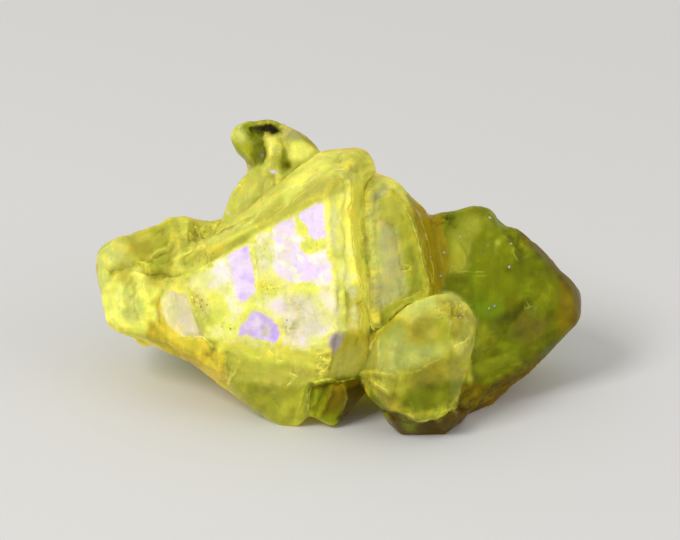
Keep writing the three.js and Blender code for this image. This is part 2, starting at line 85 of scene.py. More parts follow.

# Each area of the front, from back to front: its outline in pixels, its colour, how bright it is
# against that colour, how wide its border fades (pixels), and how rough its skin is (0 to 1).
# Besides the crystal's own tints, the colours and brightnesses are painted light and shade of the
# glow: lit faces, lit ridges and glows are lighter; hollows, undersides, side faces and the right
# crystal, in the shade of the main one, are darker.
AREAS = {
    "right crystal": ([(425, 190), (500, 195), (600, 280), (600, 330), (450, 450), (370, 450),
        (370, 330)], "moss", 0.94, 3, 0.35),
    "right crystal lower half": ([(470, 335), (520, 330), (545, 318), (592, 300), (592, 345),
        (440, 448), (440, 380)], "moss", 0.86, 12, 0.4),
    "right crystal low plain": ([(474, 346), (500, 340), (520, 346), (500, 366), (478, 372)],
        "moss", 1.03, 12, 0.3),
    "right crystal lit heart": ([(466, 276), (490, 268), (504, 284), (502, 316), (484, 322),
        (468, 306)], "green", 1.04, 14, 0.1),
    "right crystal green side": ([(472, 246), (492, 240), (506, 250), (504, 262), (476, 266)],
        "leaf", 0.95, 18, 0.1),
    "right crystal brown side": ([(508, 314), (528, 308), (546, 318), (540, 336), (516, 338)],
        "khaki", 0.66, 14, 0.3),
    "right crystal olive spot": ([(498, 266), (512, 264), (516, 280), (504, 284)], "moss", 0.72, 9,
        0.3),
    "right crystal low light": ([(470, 324), (484, 322), (498, 340), (492, 350), (474, 348)],
        "leaf", 0.98, 10, 0.1),
    "right crystal tip": ([(556, 284), (580, 290), (592, 312), (580, 330), (556, 334), (552, 310)],
        "umber", 0.84, 14, 0.35),
    "right crystal crown": ([(452, 200), (500, 200), (512, 232), (494, 238), (482, 230), (472, 240),
        (450, 236)], "leaf", 0.92, 14, 0.4),
    "right crystal crown light": ([(456, 224), (466, 216), (480, 220), (478, 230), (468, 240),
        (456, 236)], "olive", 0.93, 12, 0.3),
    "right crystal left column": ([(449, 232), (469, 232), (468, 266), (464, 274), (449, 274)],
        "olive", 0.97, 11, 0.1),
    "right crystal light plate": ([(476, 258), (506, 254), (516, 280), (504, 298), (482, 302),
        (472, 286)], "moss", 1.04, 16, 0.1),
    "right crystal dark hollow": ([(494, 320), (506, 313), (520, 304), (527, 306), (516, 317),
        (500, 325)], "moss", 0.68, 9, 0.4),
    "right crystal dark foot": ([(450, 276), (470, 276), (476, 294), (470, 302), (458, 296)],
        "moss", 0.9, 8, 0.5),
    "right crystal rim": ([(512, 226), (560, 258), (600, 300), (585, 335), (560, 345), (572, 318),
        (572, 300), (552, 274), (520, 244)], "umber", 0.72, 7, 0.45),
    "right crystal lit right": ([(520, 282), (540, 280), (556, 292), (552, 312), (530, 316),
        (518, 300)], "moss", 1.0, 10, 0.5),
    "right crystal glow line": ([(472, 366), (500, 354), (514, 350), (516, 358), (478, 376)],
        "leaf", 1.0, 10, 0.3),
    "right crystal under side": ([(436, 440), (452, 414), (470, 394), (498, 380), (524, 362),
        (540, 350), (556, 346), (520, 392), (470, 435)], "brown", 1.06, 12, 0.35),
    "small bump": ([(430, 208), (450, 208), (452, 226), (440, 228), (430, 222)], "moss", 0.98, 3,
        0.8),
    "upper left crystal": ([(90, 230), (150, 215), (196, 210), (230, 215), (225, 240), (185, 258),
        (165, 285), (150, 282), (135, 262), (90, 262)], "straw", 1.02, 4, 0.3),
    "upper left crest": ([(100, 252), (112, 242), (128, 246), (122, 262), (112, 272), (112, 300),
        (98, 300), (92, 262)], "mist", 1.13, 5, 0.2),
    "left rim": ([(90, 262), (100, 262), (101, 280), (104, 296), (108, 312), (116, 328), (104, 332),
        (90, 300)], "orange", 0.86, 3, 0.2),
    "upper left brown hollow": ([(130, 244), (150, 238), (160, 248), (148, 262), (134, 258)],
        "khaki", 1.06, 8, 0.2),
    "left crag": ([(150, 230), (172, 226), (176, 248), (154, 254)], "olive", 1.06, 10, 0.3),
    "upper left crease": ([(118, 266), (137, 261), (150, 258), (166, 252), (176, 258), (170, 274),
        (160, 276), (140, 268)], "olive", 1.1, 8, 0.2),
    "left dent": ([(112, 268), (128, 264), (134, 272), (120, 284)], "olive", 1.05, 8, 0.2),
    "upper left lit ridge": ([(176, 262), (186, 254), (200, 247), (204, 252), (190, 262),
        (180, 268)], "yellow", 1.04, 5, 0.3),
    "lower left crystal": ([(117, 272), (140, 267), (150, 278), (166, 284), (160, 306), (150, 312),
        (175, 345), (200, 372), (130, 345), (108, 325), (103, 295)], "bright", 1.0, 3, 0.2),
    "lower left pale": ([(118, 286), (134, 284), (146, 306), (142, 324), (122, 318), (116, 300)],
        "mist", 1.2, 14, 0.2),
    "lower left dent": ([(114, 268), (128, 264), (134, 270), (126, 280), (118, 280)], "straw", 1.0,
        8, 0.2),
    "lower left green side": ([(152, 272), (170, 278), (162, 300), (154, 300), (148, 286)], "straw",
        1.02, 10, 0.2),
    "lower left far side": ([(150, 286), (161, 288), (163, 322), (152, 322)], "yellow", 1.18, 7,
        0.2),
    "lower left under edge": ([(106, 318), (140, 328), (176, 343), (206, 362), (200, 376),
        (100, 345)], "yellow", 0.95, 4, 0.3),
    "neck crystal": ([(228, 225), (226, 208), (236, 184), (252, 164), (270, 160), (300, 165),
        (285, 185), (262, 208), (245, 226)], "yellow", 0.93, 3, 0.4),
    "cap left": ([(228, 120), (252, 120), (255, 160), (248, 166), (228, 148)], "leaf", 1.12, 3,
        0.4),
    "cap left light": ([(230, 126), (246, 124), (247, 140), (238, 148), (230, 140)], "mist", 1.08,
        5, 0.3),
    "cap dark column": ([(252, 127), (263, 126), (263, 150), (260, 166), (248, 170), (242, 158),
        (248, 144)], "moss", 0.92, 6, 0.6),
    "cap middle": ([(262, 138), (280, 134), (285, 148), (280, 163), (266, 164), (261, 150)],
        "straw", 1.0, 4, 0.4),
    "cap middle light": ([(266, 142), (276, 140), (280, 152), (272, 160), (265, 154)], "mist", 1.14,
        6, 0.4),
    "cap second shade": ([(281, 152), (290, 150), (293, 170), (282, 174), (278, 166)], "moss", 1.18,
        6, 0.4),
    "cap hollow": ([(255, 127), (266, 124), (277, 127), (282, 133), (272, 137), (259, 135)],
        "brown", 0.3, 3, 0.8),
    "cap right": ([(283, 124), (324, 150), (318, 156), (300, 166), (288, 160), (282, 140)],
        "yellow", 0.95, 4, 0.3),
    "cap right lit": ([(289, 149), (300, 144), (312, 150), (308, 160), (292, 162)], "bright", 1.02,
        7, 0.3),
    "cap frost": ([(283, 128), (296, 130), (308, 142), (298, 144), (284, 141)], "grey", 0.9, 6,
        0.3),
    "cap right brow": ([(296, 131), (314, 142), (322, 151), (314, 148), (302, 140)], "khaki", 0.94,
        3, 0.2),
    "cap notch": ([(284, 165), (289, 164), (291, 169), (286, 171)], "brown", 0.9, 3, 0.4),
    "main upper bevel": ([(150, 305), (170, 276), (196, 248), (252, 210), (320, 150), (352, 150),
        (376, 170), (352, 186), (322, 203), (262, 233), (208, 268), (170, 305)], "yellow", 0.98, 3,
        0.35),
    "bevel straw wedge": ([(252, 222), (300, 184), (330, 176), (345, 180), (322, 199), (262, 230)],
        "straw", 1.0, 5, 0.3),
    "bevel bright ridge": ([(284, 190), (300, 170), (318, 154), (340, 154), (325, 172), (296, 196),
        (284, 206)], "bright", 0.95, 5, 0.45),
    "bevel left end": ([(190, 256), (206, 248), (250, 234), (245, 244), (212, 262), (188, 288),
        (176, 284)], "straw", 1.0, 4, 0.35),
    "main crown": ([(340, 150), (350, 148), (378, 166), (370, 182), (352, 186), (344, 176)],
        "straw", 1.05, 4, 0.35),
    "main table": ([(172, 288), (208, 266), (262, 231), (322, 201), (352, 186), (353, 250),
        (362, 300), (360, 335), (330, 352), (240, 345), (205, 338), (196, 312)], "bright", 0.99, 3,
        0.4),
    "etched ochre": ([(190, 288), (200, 286), (208, 304), (212, 322), (204, 332), (198, 314)],
        "straw", 1.04, 8, 0.35),
    "etched corner": ([(172, 284), (186, 268), (204, 258), (208, 268), (192, 284), (182, 292)],
        "yellow", 0.98, 10, 0.3),
    "ring middle": ([(259, 324), (271, 324), (272, 337), (260, 338)], "lavender", 0.87, 2, 0.1),
    "etched middle": ([(252, 276), (268, 276), (288, 284), (284, 296), (256, 296)], "yellow", 1.05,
        8, 0.4),
    "table right band": ([(326, 206), (348, 190), (348, 226), (356, 282), (344, 300), (336, 270)],
        "bright", 1.02, 4, 0.4),
    "band lower plate": ([(343, 292), (356, 283), (361, 300), (358, 332), (344, 332)], "straw", 1.0,
        3, 0.3),
    "table centre": ([(284, 296), (312, 296), (324, 330), (306, 346), (284, 332)], "milk", 0.95, 6,
        0.5),
    "table lower part": ([(222, 336), (262, 342), (306, 346), (330, 350), (331, 372), (306, 384),
        (228, 378), (214, 350)], "straw", 1.13, 5, 0.3),
    "table lower gloom": ([(226, 352), (262, 362), (304, 362), (318, 370), (306, 384), (228, 380)],
        "straw", 0.98, 9, 0.2),
    "lower left strip": ([(156, 306), (168, 318), (178, 337), (203, 338), (213, 350), (212, 366),
        (190, 360), (160, 338)], "orange", 1.0, 3, 0.3),
    "strip low side": ([(150, 318), (160, 328), (172, 340), (184, 345), (200, 355), (213, 364),
        (217, 382), (200, 374), (178, 358), (146, 336)], "orange", 0.83, 4, 0.3),
    "strip tail": ([(206, 352), (226, 352), (228, 386), (260, 412), (240, 405), (200, 370)],
        "orange", 0.9, 3, 0.3),
    "left facet": ([(169, 292), (180, 291.5), (188, 295), (191, 304), (197, 323), (203, 336.5),
        (184, 335), (171, 326), (162, 314), (162, 304)], "milk", 0.99, 2.5, 0.15),
    "left facet shade": ([(174, 300), (184, 300), (190, 314), (194, 328), (182, 328), (174, 314)],
        "milk", 0.94, 8, 0.15),
    "left facet glow": ([(156, 312), (163, 300), (171, 294), (167, 312), (175, 327), (186, 335),
        (172, 332)], "milk", 1.07, 4, 0.2),
    "left facet rim": ([(156, 306), (162, 298), (163, 314), (172, 327), (184, 335.5), (178, 338),
        (164, 326)], "orange", 1.03, 2.5, 0.2),
    "lower tip": ([(229, 380), (262, 384), (300, 386), (310, 384), (311, 414), (296, 430),
        (270, 428), (240, 402)], "olive", 0.96, 8, 0.25),
    "lower tip glow": ([(276, 398), (305, 390), (306, 412), (290, 422), (276, 416)], "olive", 1.04,
        6, 0.2),
    "chip fan": ([(226, 352), (238, 358), (228, 386), (224, 374)], "straw", 0.98, 5, 0.2),
    "lower right facet": ([(330, 352), (338, 332), (360, 330), (381, 332), (358, 377), (334, 380),
        (326, 378)], "khaki", 1.1, 2.5, 0.3),
    "facet smudge": ([(329, 336), (335, 332), (342, 334), (338, 343), (333, 352), (329, 348)],
        "lavender", 0.66, 6, 0.2),
    "facet light": ([(332, 358), (346, 350), (368, 346), (356, 376), (334, 380)], "yellow", 0.86,
        14, 0.3),
    "groove": ([(350, 182), (370, 180), (368, 215), (365, 240), (372, 285), (382, 330), (361, 334),
        (362, 300), (354, 262), (349, 222)], "straw", 1.12, 2.5, 0.2),
    "groove floor": ([(360, 186), (370, 184), (368, 215), (366, 240), (374, 285), (383, 330),
        (372, 332), (364, 290), (358, 240)], "straw", 0.95, 3, 0.1),
    "groove low": ([(362, 284), (374, 282), (381, 326), (366, 328)], "yellow", 1.04, 6, 0.2),
    "right block": ([(370, 176), (384, 168), (440, 216), (450, 262), (434, 300), (382, 330),
        (366, 262), (366, 225)], "olive", 1.04, 3, 0.3),
    "right block crown": ([(372, 168), (378, 172), (404, 190), (406, 208), (390, 192), (380, 188),
        (370, 200)], "yellow", 0.96, 3, 0.4),
    "right block left rim": ([(367, 200), (378, 198), (374, 226), (370, 268), (380, 308),
        (374, 304), (365, 254)], "yellow", 0.95, 3, 0.5),
    "right block panel": ([(373, 222), (380, 217), (397, 228), (406, 292), (396, 299), (378, 311),
        (372, 284), (369, 250)], "grey", 1.0, 8, 0.2),
    "right block top": ([(378, 204), (388, 196), (402, 206), (406, 226), (392, 228), (380, 218)],
        "straw", 0.96, 8, 0.3),
    "right block left light": ([(367, 208), (379, 212), (382, 282), (373, 284), (367, 234)], "mist",
        1.12, 4, 0.3),
    "right block tag": ([(371, 198), (384, 189), (387, 196), (372, 205)], "grey", 0.95, 2.5, 0.2),
    "right block green strip": ([(400, 214), (410, 214), (424, 270), (428, 290), (408, 294)],
        "olive", 0.98, 3, 0.3),
    "right block under": ([(379, 316), (400, 300), (432, 290), (434, 300), (400, 318), (382, 330)],
        "olive", 1.06, 3, 0.3),
    "right block side": ([(404, 196), (440, 214), (450, 262), (436, 298), (429, 294), (427, 272),
        (417, 234)], "umber", 1.05, 4, 0.1),
    "shard foot": ([(309, 384), (334, 378), (362, 376), (366, 392), (340, 428), (312, 418)], "moss",
        1.12, 2.5, 0.3),
    "shard middle": ([(328, 390), (344, 386), (346, 400), (336, 414), (322, 414)], "umber", 0.8, 6,
        0.3),
    "shard top": ([(310, 384), (340, 381), (360, 379), (352, 388), (312, 391)], "umber", 0.84, 3,
        0.3),
    "shard foot side": ([(344, 382), (366, 380), (366, 396), (342, 424), (336, 420), (346, 398)],
        "brown", 0.8, 2.5, 0.3),
    "knob": ([(382, 330), (397, 314), (450, 293), (464, 303), (475, 318), (475, 342), (469, 356),
        (472, 384), (458, 398), (448, 412), (420, 420), (396, 414), (362, 380)], "olive", 1.02, 2.5,
        0.25),
    "knob crown": ([(392, 320), (410, 308), (448, 294), (464, 303), (472, 318), (462, 330),
        (430, 322), (404, 326)], "straw", 1.0, 8, 0.35),
    "knob crown light": ([(404, 314), (420, 304), (434, 302), (436, 312), (420, 318), (408, 322)],
        "mist", 1.08, 8, 0.3),
    "knob crown lip": ([(438, 292), (456, 296), (464, 304), (456, 308), (444, 300)], "mist", 1.04,
        5, 0.3),
    "knob crown shade": ([(444, 308), (456, 306), (462, 320), (448, 326)], "khaki", 1.1, 8, 0.35),
    "knob milk": ([(368, 366), (376, 344), (392, 328), (404, 328), (416, 344), (452, 346),
        (440, 358), (414, 368), (384, 374)], "mist", 0.96, 16, 0.15),
    "knob olive middle": ([(404, 326), (430, 322), (440, 334), (424, 342), (404, 342)], "khaki",
        1.06, 14, 0.2),
    "knob first mottle": ([(410, 330), (418, 328), (422, 335), (413, 338)], "khaki", 0.94, 6, 0.2),
    "knob second mottle": ([(426, 334), (434, 330), (438, 338), (430, 342)], "straw", 0.96, 6, 0.2),
    "knob milk spot": ([(406, 352), (418, 350), (422, 360), (410, 363)], "mist", 1.06, 8, 0.1),
    "knob right shade": ([(452, 318), (466, 316), (468, 336), (454, 340)], "khaki", 1.0, 8, 0.25),
    "knob hollow": ([(408, 380), (420, 369), (442, 358), (458, 362), (462, 380), (452, 392),
        (424, 396), (409, 392)], "khaki", 0.95, 14, 0.15),
    "knob green floor": ([(398, 396), (416, 386), (444, 382), (462, 376), (468, 384), (452, 402),
        (424, 414), (402, 410)], "leaf", 0.86, 10, 0.3),
    "knob lit side": ([(452, 342), (464, 338), (466, 350), (458, 354)], "bright", 0.88, 7, 0.3),
    "knob left light": ([(364, 376), (388, 374), (392, 392), (380, 394), (370, 386)], "straw", 0.86,
        8, 0.3),
    "knob low left": ([(378, 392), (396, 392), (402, 410), (390, 410)], "khaki", 0.88, 8, 0.3),
    "knob right rim": ([(462, 318), (476, 318), (475, 342), (468, 356), (461, 352), (462, 334)],
        "straw", 0.82, 4, 0.25),
    "foot": ([(380, 406), (404, 416), (440, 420), (458, 404), (478, 392), (484, 408), (456, 428),
        (438, 444), (404, 442)], "brown", 0.8, 3, 0.4),
    "foot left": ([(380, 408), (404, 416), (424, 420), (420, 432), (398, 434)], "brown", 0.88, 8,
        0.3),
    "foot right top": ([(462, 384), (480, 382), (490, 398), (468, 410), (458, 402)], "umber", 0.78,
        6, 0.3),
    "foot green spot": ([(400, 416), (416, 420), (414, 430), (404, 428)], "leaf", 0.74, 8, 0.3),
}

# Glassy mirror-like patches on the wide face, whose white, lavender and violet are a painted
# reflection of the lamp: outline, how violet (0 white to 1 violet), how far it covers the skin (0
# to 1), and how ragged its border is (0 straight to 1 frayed).
MIRRORS = {
    "left window": ([(246, 245.5), (250, 248), (252, 259.5), (254.3, 272.5), (256.2, 293.5),
        (248.6, 298.5), (243.7, 305), (237.2, 300), (233, 287), (232.3, 278), (230, 264.4),
        (227.4, 256.3), (236.4, 249.8)], 0.5, 1.0, 0.1),
    "left window frost": ([(220, 263), (228, 258.7), (234, 278), (235, 287), (239, 300), (243, 312),
        (234, 314), (226.6, 300), (217, 292), (209.5, 287), (211, 274)], 0.0, 0.6, 0.8),
    "left cloud": ([(212, 264), (221, 257), (230, 261), (233, 277), (228, 289), (216, 285)], 0.1,
        0.9, 0.5),
    "upper window": ([(299, 214), (308, 208.4), (317.7, 202.7), (323.4, 204.3), (325.3, 223.8),
        (326.6, 237), (316, 240), (309.6, 235), (308, 227), (299.8, 219)], 0.32, 1.0, 0.1),
    "middle window": ([(270.5, 228.7), (285, 220.6), (293.3, 215.7), (295.2, 223.8), (297.4, 233.6),
        (304.7, 238.5), (306.3, 241.7), (299.8, 248), (304.7, 252), (312, 255), (321, 251),
        (327.4, 247), (328.2, 259.5), (330.7, 272.5), (332.3, 282.3), (327.4, 288.8), (317.7, 287),
        (311, 285.5), (301.4, 288.8), (293, 285.5), (285, 279), (275.4, 274), (271, 265),
        (274, 256), (276, 248), (271, 240)], 0.16, 1.0, 0.35),
    "middle window frost": ([(257, 237), (270, 230), (276, 242), (277, 252), (272, 268), (262, 270),
        (256, 256)], 0.02, 0.6, 0.8),
    "frost below": ([(250, 296), (262, 294), (284, 292), (300, 290), (318, 290), (322, 312),
        (306, 326), (290, 324), (276, 314), (262, 308)], 0.05, 0.42, 1.0),
    "ring window": ([(254.3, 310), (262.4, 311.6), (270.5, 318), (278.6, 324.6), (280.3, 334.3),
        (277, 342.5), (267.3, 341.6), (252.6, 337.6), (249.4, 334.3), (244.5, 336), (239.6, 337.6),
        (238.8, 331), (243, 323), (248.6, 319.7), (251, 313)], 0.9, 0.97, 0.2),
    "small window": ([(268, 300), (280, 297), (290, 302), (290, 311), (280, 313), (271, 309)], 0.3,
        0.7, 0.7),
    "faint window": ([(284, 336), (296, 332), (308, 336), (307, 345), (294, 349), (285, 344)], 0.35,
        0.55, 0.8),
    "right haze": ([(318, 284), (334, 282), (339, 300), (338, 320), (330, 336), (316, 340),
        (306, 330), (314, 306)], 0.12, 0.42, 0.9),
    "centre haze": ([(286, 300), (304, 296), (316, 312), (314, 334), (296, 338), (284, 322)], 0.0,
        0.35, 1.0),
    "neck fleck": ([(270, 172), (272, 171), (278, 174), (277, 175.5), (272, 174.5)], 0.6, 0.9, 0.0),
    "neck low fleck": ([(227, 212.5), (231, 212), (231, 215), (228, 215)], 0.6, 0.5, 0.0),
    "cap fleck": ([(254, 156.5), (256, 156), (256.5, 160), (254.5, 160)], 0.9, 0.4, 0.0),
    "facet glaze": ([(178, 300), (187, 300), (194, 318), (201, 334), (184, 333), (178, 318)], 0.2,
        0.25, 0.8),
}

# Yellow skin left inside the patches.
SKINS = {
    "ring middle": [(260.5, 325.5), (267, 324.5), (270.5, 329), (269, 336), (262, 336)],
    "upper notch": [(296, 220), (301, 221), (308, 230), (309, 236), (303, 236), (297, 230)],
    "middle inclusion": [(300, 243), (308, 238), (318, 241), (326, 240), (325, 247), (314, 253.5),
        (303, 250)],
    "middle bay": [(286, 282), (300, 284), (314, 282), (318, 292), (300, 296), (286, 292)],
}

# Edges that stay pale where the other side faces take the painted orange shade.
PALE_EDGES = {
    "bevel top": [(222, 222), (236, 214), (262, 186), (300, 152), (322, 152), (300, 184),
        (262, 222), (232, 236)],
    "knob top": [(392, 312), (424, 292), (464, 288), (484, 306), (480, 350), (464, 350), (464, 318),
        (404, 322)],
    "block left": [(364, 190), (384, 190), (384, 330), (368, 330)],
    "left top": [(96, 246), (112, 232), (150, 212), (190, 212), (190, 228), (150, 234), (120, 250),
        (104, 256)],
}

# Dabs of lighter or darker crystal, partly its own mottling and partly painted glints and painted
# shade: pixels across and down, how wide (pixels), and how much lighter (or darker, below zero).
DABS = {
    "right crystal": [(472, 228, 8, 0.45), (492, 244, 3.5, 0.7), (499, 241, 3, 0.5),
        (486, 236, 3.5, 0.45), (510, 267, 4, 0.25), (507, 273, 3.5, -0.45), (515, 257, 3, -0.3),
        (511, 254, 3, 0.5), (528, 290, 5, 0.4), (541, 298, 4.5, 0.3), (521, 249, 5, 0.45),
        (535, 260, 3.5, -0.4), (543, 270, 3.5, -0.3), (559, 279, 4, -0.35), (526, 304, 3.5, -0.5),
        (521, 298, 3.5, 0.35), (548, 313, 4, -0.45), (538, 318, 3.5, 0.3), (485, 331, 6, 0.35),
        (503, 338, 7, 0.25), (493, 351, 4, -0.35), (551, 340, 4, -0.35), (532, 345, 4, 0.3),
        (487, 380, 4, 0.6), (500, 377, 3.5, 0.4), (466, 379, 5, 0.5), (474, 392, 4, 0.4),
        (530, 276, 3.5, -0.3), (547, 287, 3.5, 0.3), (566, 300, 4.5, 0.25), (571, 318, 4.5, -0.25),
        (512, 284, 6, 0.2), (478, 300, 6, -0.16), (492, 296, 5, 0.2), (516, 330, 5, -0.2),
        (460, 283, 5, -0.1), (466, 292, 4, 0.3), (457, 252, 5, 0.2), (464, 240, 4, -0.15),
        (502, 246, 4, -0.25), (504, 230, 3.5, -0.35), (481, 212, 5, -0.2), (483, 252, 5, -0.15),
        (475, 276, 4, 0.2), (490, 372, 12, 0.15), (469, 214, 7, -0.15), (462, 286, 8, 0.2)],
    "knob": [(418, 306, 5, 0.15), (420, 370, 12, -0.2), (405, 370, 8, -0.2), (450, 375, 7, 0.35),
        (404, 340, 5, 0.1), (428, 330, 5, -0.12), (440, 348, 6, 0.12), (425, 400, 5, -0.3),
        (440, 398, 5, 0.3), (415, 392, 4, 0.25), (432, 386, 4, -0.2), (448, 388, 4, -0.2),
        (420, 408, 4, 0.25), (404, 404, 4, -0.25), (396, 396, 4, 0.25), (440, 378, 4, -0.15),
        (408, 314, 5, 0.15), (424, 317, 4, -0.12), (398, 334, 6, -0.12), (386, 352, 7, 0.1),
        (430, 303, 5, 0.15)],
    "right block": [(443, 240, 4, 0.2), (412, 258, 5, -0.15), (414, 282, 5, -0.12),
        (407, 244, 4, 0.35), (404, 222, 4, 0.2), (388, 256, 6, 0.12), (384, 290, 6, -0.12),
        (392, 240, 5, -0.12), (380, 270, 5, 0.12), (386, 214, 5, 0.12), (396, 210, 5, -0.15)],
    "wedge": [(235, 373, 9, -0.25), (272, 368, 14, 0.16), (355, 315, 9, 0.08), (368, 168, 5, -0.12),
        (346, 220, 10, -0.07), (346, 270, 12, 0.1), (360, 215, 9, 0.1), (362, 262, 9, -0.12),
        (240, 392, 6, 0.15), (255, 394, 7, -0.15), (286, 404, 6, 0.12), (294, 392, 6, -0.12)],
    "shard": [(313, 402, 4, 0.45), (322, 400, 4, 0.25), (356, 381, 4, 0.6)],
    "left crystals": [(150, 222, 5, -0.2), (202, 236, 10, 0.2), (168, 246, 5, -0.15),
        (142, 256, 4, 0.12), (165, 267, 8, -0.28), (126, 269, 6, -0.12)],
}

# Where dark etch pits gather.
PITTED = {
    "left pits": [(190, 286), (200, 284), (210, 300), (208, 320), (200, 322), (192, 300)],
    "centre pits": [(254, 278), (268, 277), (282, 284), (280, 296), (262, 294)],
    "low pits": [(222, 322), (236, 322), (236, 332), (222, 330)],
    "window pits": [(250, 240), (262, 236), (266, 256), (262, 272), (254, 270), (252, 252)],
    "right pits": [(282, 318), (292, 316), (298, 330), (286, 334)],
    "upper pits": [(198, 258), (216, 252), (222, 262), (204, 272)],
    "knob pits": [(430, 314), (444, 310), (450, 320), (440, 326), (431, 322)],
}

# Where the wide face's skin is etched into clouds and grain.
ETCHED = {
    "table": [(182, 286), (208, 268), (262, 236), (322, 206), (336, 204), (342, 250), (344, 300),
        (340, 334), (322, 350), (284, 350), (240, 345), (210, 340), (198, 312)],
    "table right edge": [(340, 236), (352, 250), (358, 290), (356, 326), (344, 332), (338, 290)],
}

# Bright seams: edges of steps and cracks that catch the light, each with its strength.
LIGHT_SEAMS = {
    "band edge": (1.0, [(350, 186), (350.5, 203), (348, 210), (348, 219.5), (350, 229), (352, 244),
        (354, 255), (355, 266)]),
    "groove right edge": (0.7, [(370, 195), (369.5, 214), (365.5, 227), (365, 240), (365.5, 255),
        (371, 277), (375, 297)]),
    "block edge": (1.0, [(402, 206), (406, 212), (411, 221.5), (416, 240), (419, 255), (423, 269.5),
        (427.5, 284), (426, 297)]),
    "block second edge": (0.7, [(413, 208), (416.5, 214), (424.5, 236), (428, 250), (432, 272),
        (433, 292)]),
    "block rung": (0.8, [(400, 271), (409, 271.5), (411, 265)]),
    "column right": (0.15, [(467.5, 240), (467, 264)]),
    "right crystal rung": (0.45, [(449.5, 272.5), (462, 272), (476, 272.5), (488, 272)]),
    "right crystal low rung": (0.2, [(477, 277), (488, 277)]),
    "right crystal hook": (0.6, [(509, 253), (512.5, 260), (515.5, 264.5)]),
    "right crystal squiggle": (0.6, [(526, 301), (530, 306), (524, 308)]),
    "left window edge": (0.7, [(253.5, 247), (255.5, 262), (257.5, 280), (258, 294)]),
    "upper window edge": (0.5, [(326, 204), (328, 224), (329.5, 238)]),
    "left second lip": (0.6, [(153, 257), (158, 251.5), (168, 249), (172, 244)]),
    "left tooth": (0.8, [(139, 263), (146, 265), (152, 271)]),
    "left bright ridge": (0.8, [(178, 263), (188, 256), (200, 249)]),
    "lower glint": (0.9, [(276, 359), (279, 360), (283, 360.5)]),
    "lower second glint": (0.9, [(289, 372), (293, 374.5), (297, 375)]),
    "lower third glint": (0.8, [(268, 349), (271, 353), (273, 356)]),
    "lower fourth glint": (0.8, [(256, 356), (258, 357.5), (260, 357)]),
    "lower fifth glint": (0.8, [(284, 386), (288, 384), (292, 380)]),
    "block rung glint": (1.0, [(404, 265), (409, 266), (412, 270)]),
    "block low glint": (0.7, [(402, 300), (412, 296), (422, 291)]),
    "crown glint": (0.7, [(325, 175), (334, 171), (344, 170)]),
    "crown left glint": (0.6, [(296, 192), (304, 186), (316, 180)]),
    "neck glint": (0.9, [(237, 187), (240, 185), (242, 188)]),
    "knob side glint": (0.9, [(456, 346), (462, 343), (467, 337)]),
    "knob left glint": (0.9, [(376, 382), (380, 386), (386, 392)]),
    "knob brow": (0.5, [(408, 379), (414, 372), (422, 369), (432, 362), (442, 357)]),
    "band lower edge": (1.0, [(354.5, 270), (359, 281), (361, 298), (358, 318), (357, 331)]),
    "band inner edge": (0.6, [(343, 284), (343.5, 294), (344.5, 316), (342.5, 326)]),
    "contact edge": (1.0, [(380.5, 331), (371, 349.5), (363.5, 366), (359, 376.5)]),
    "main underside": (1.0, [(308, 384), (321, 380), (332, 377.3), (337, 381), (347, 379),
        (358.5, 377)]),
    "table lower lip": (0.8, [(322, 371), (328, 364), (330, 354)]),
    "foot ridge": (0.25, [(334, 382), (329.5, 396), (321, 412)]),
    "foot right ridge": (0.35, [(342, 384.5), (345.5, 392), (345, 398), (340.5, 416)]),
    "tip seam": (1.0, [(310.4, 385), (309.8, 396), (309.6, 404), (308, 412)]),
    "knob post": (0.5, [(381.3, 335), (381.5, 352), (381.2, 370)]),
    "knob shard": (0.55, [(363.6, 373.5), (376, 372), (391.4, 375.4)]),
    "knob low shard": (0.8, [(374.7, 380), (381, 387), (387.7, 392)]),
    "knob arc": (0.2, [(408, 381), (410, 373.6), (419, 370), (428.4, 362.5)]),
    "knob rim": (0.6, [(391.4, 403), (402.5, 412), (417.3, 418), (436, 417), (447, 412.4),
        (456, 405)]),
    "knob right rim": (0.25, [(472.8, 314), (473.3, 338), (467.2, 353), (467.2, 373)]),
    "knob crown line": (0.6, [(397, 316), (410, 309.5), (424, 305), (436, 298)]),
    "strip edge": (0.8, [(178.6, 336), (190, 336.5), (204, 336.5), (213.5, 346), (211.5, 353),
        (204, 354)]),
    "chip left edge": (0.6, [(225.8, 352), (225, 368.5), (228, 380)]),
    "chip right edge": (0.7, [(237.2, 366.8), (231.5, 378), (227.4, 384.7)]),
    "bevel edge": (0.5, [(182, 284), (196, 272), (209, 264), (224, 255)]),
    "bevel ridge": (0.45, [(262, 226), (280, 212), (300, 196), (318, 186)]),
    "neck spine": (0.5, [(262, 212), (256, 220), (246, 226)]),
    "lower left crest": (0.5, [(143.7, 266), (148, 272), (152, 278)]),
    "lower left line": (0.35, [(124, 274), (126, 284), (122, 296)]),
    "lower left second line": (0.35, [(132, 280), (140, 292), (146, 296)]),
    "upper left line": (0.35, [(150, 264), (158, 258), (160, 250)]),
}
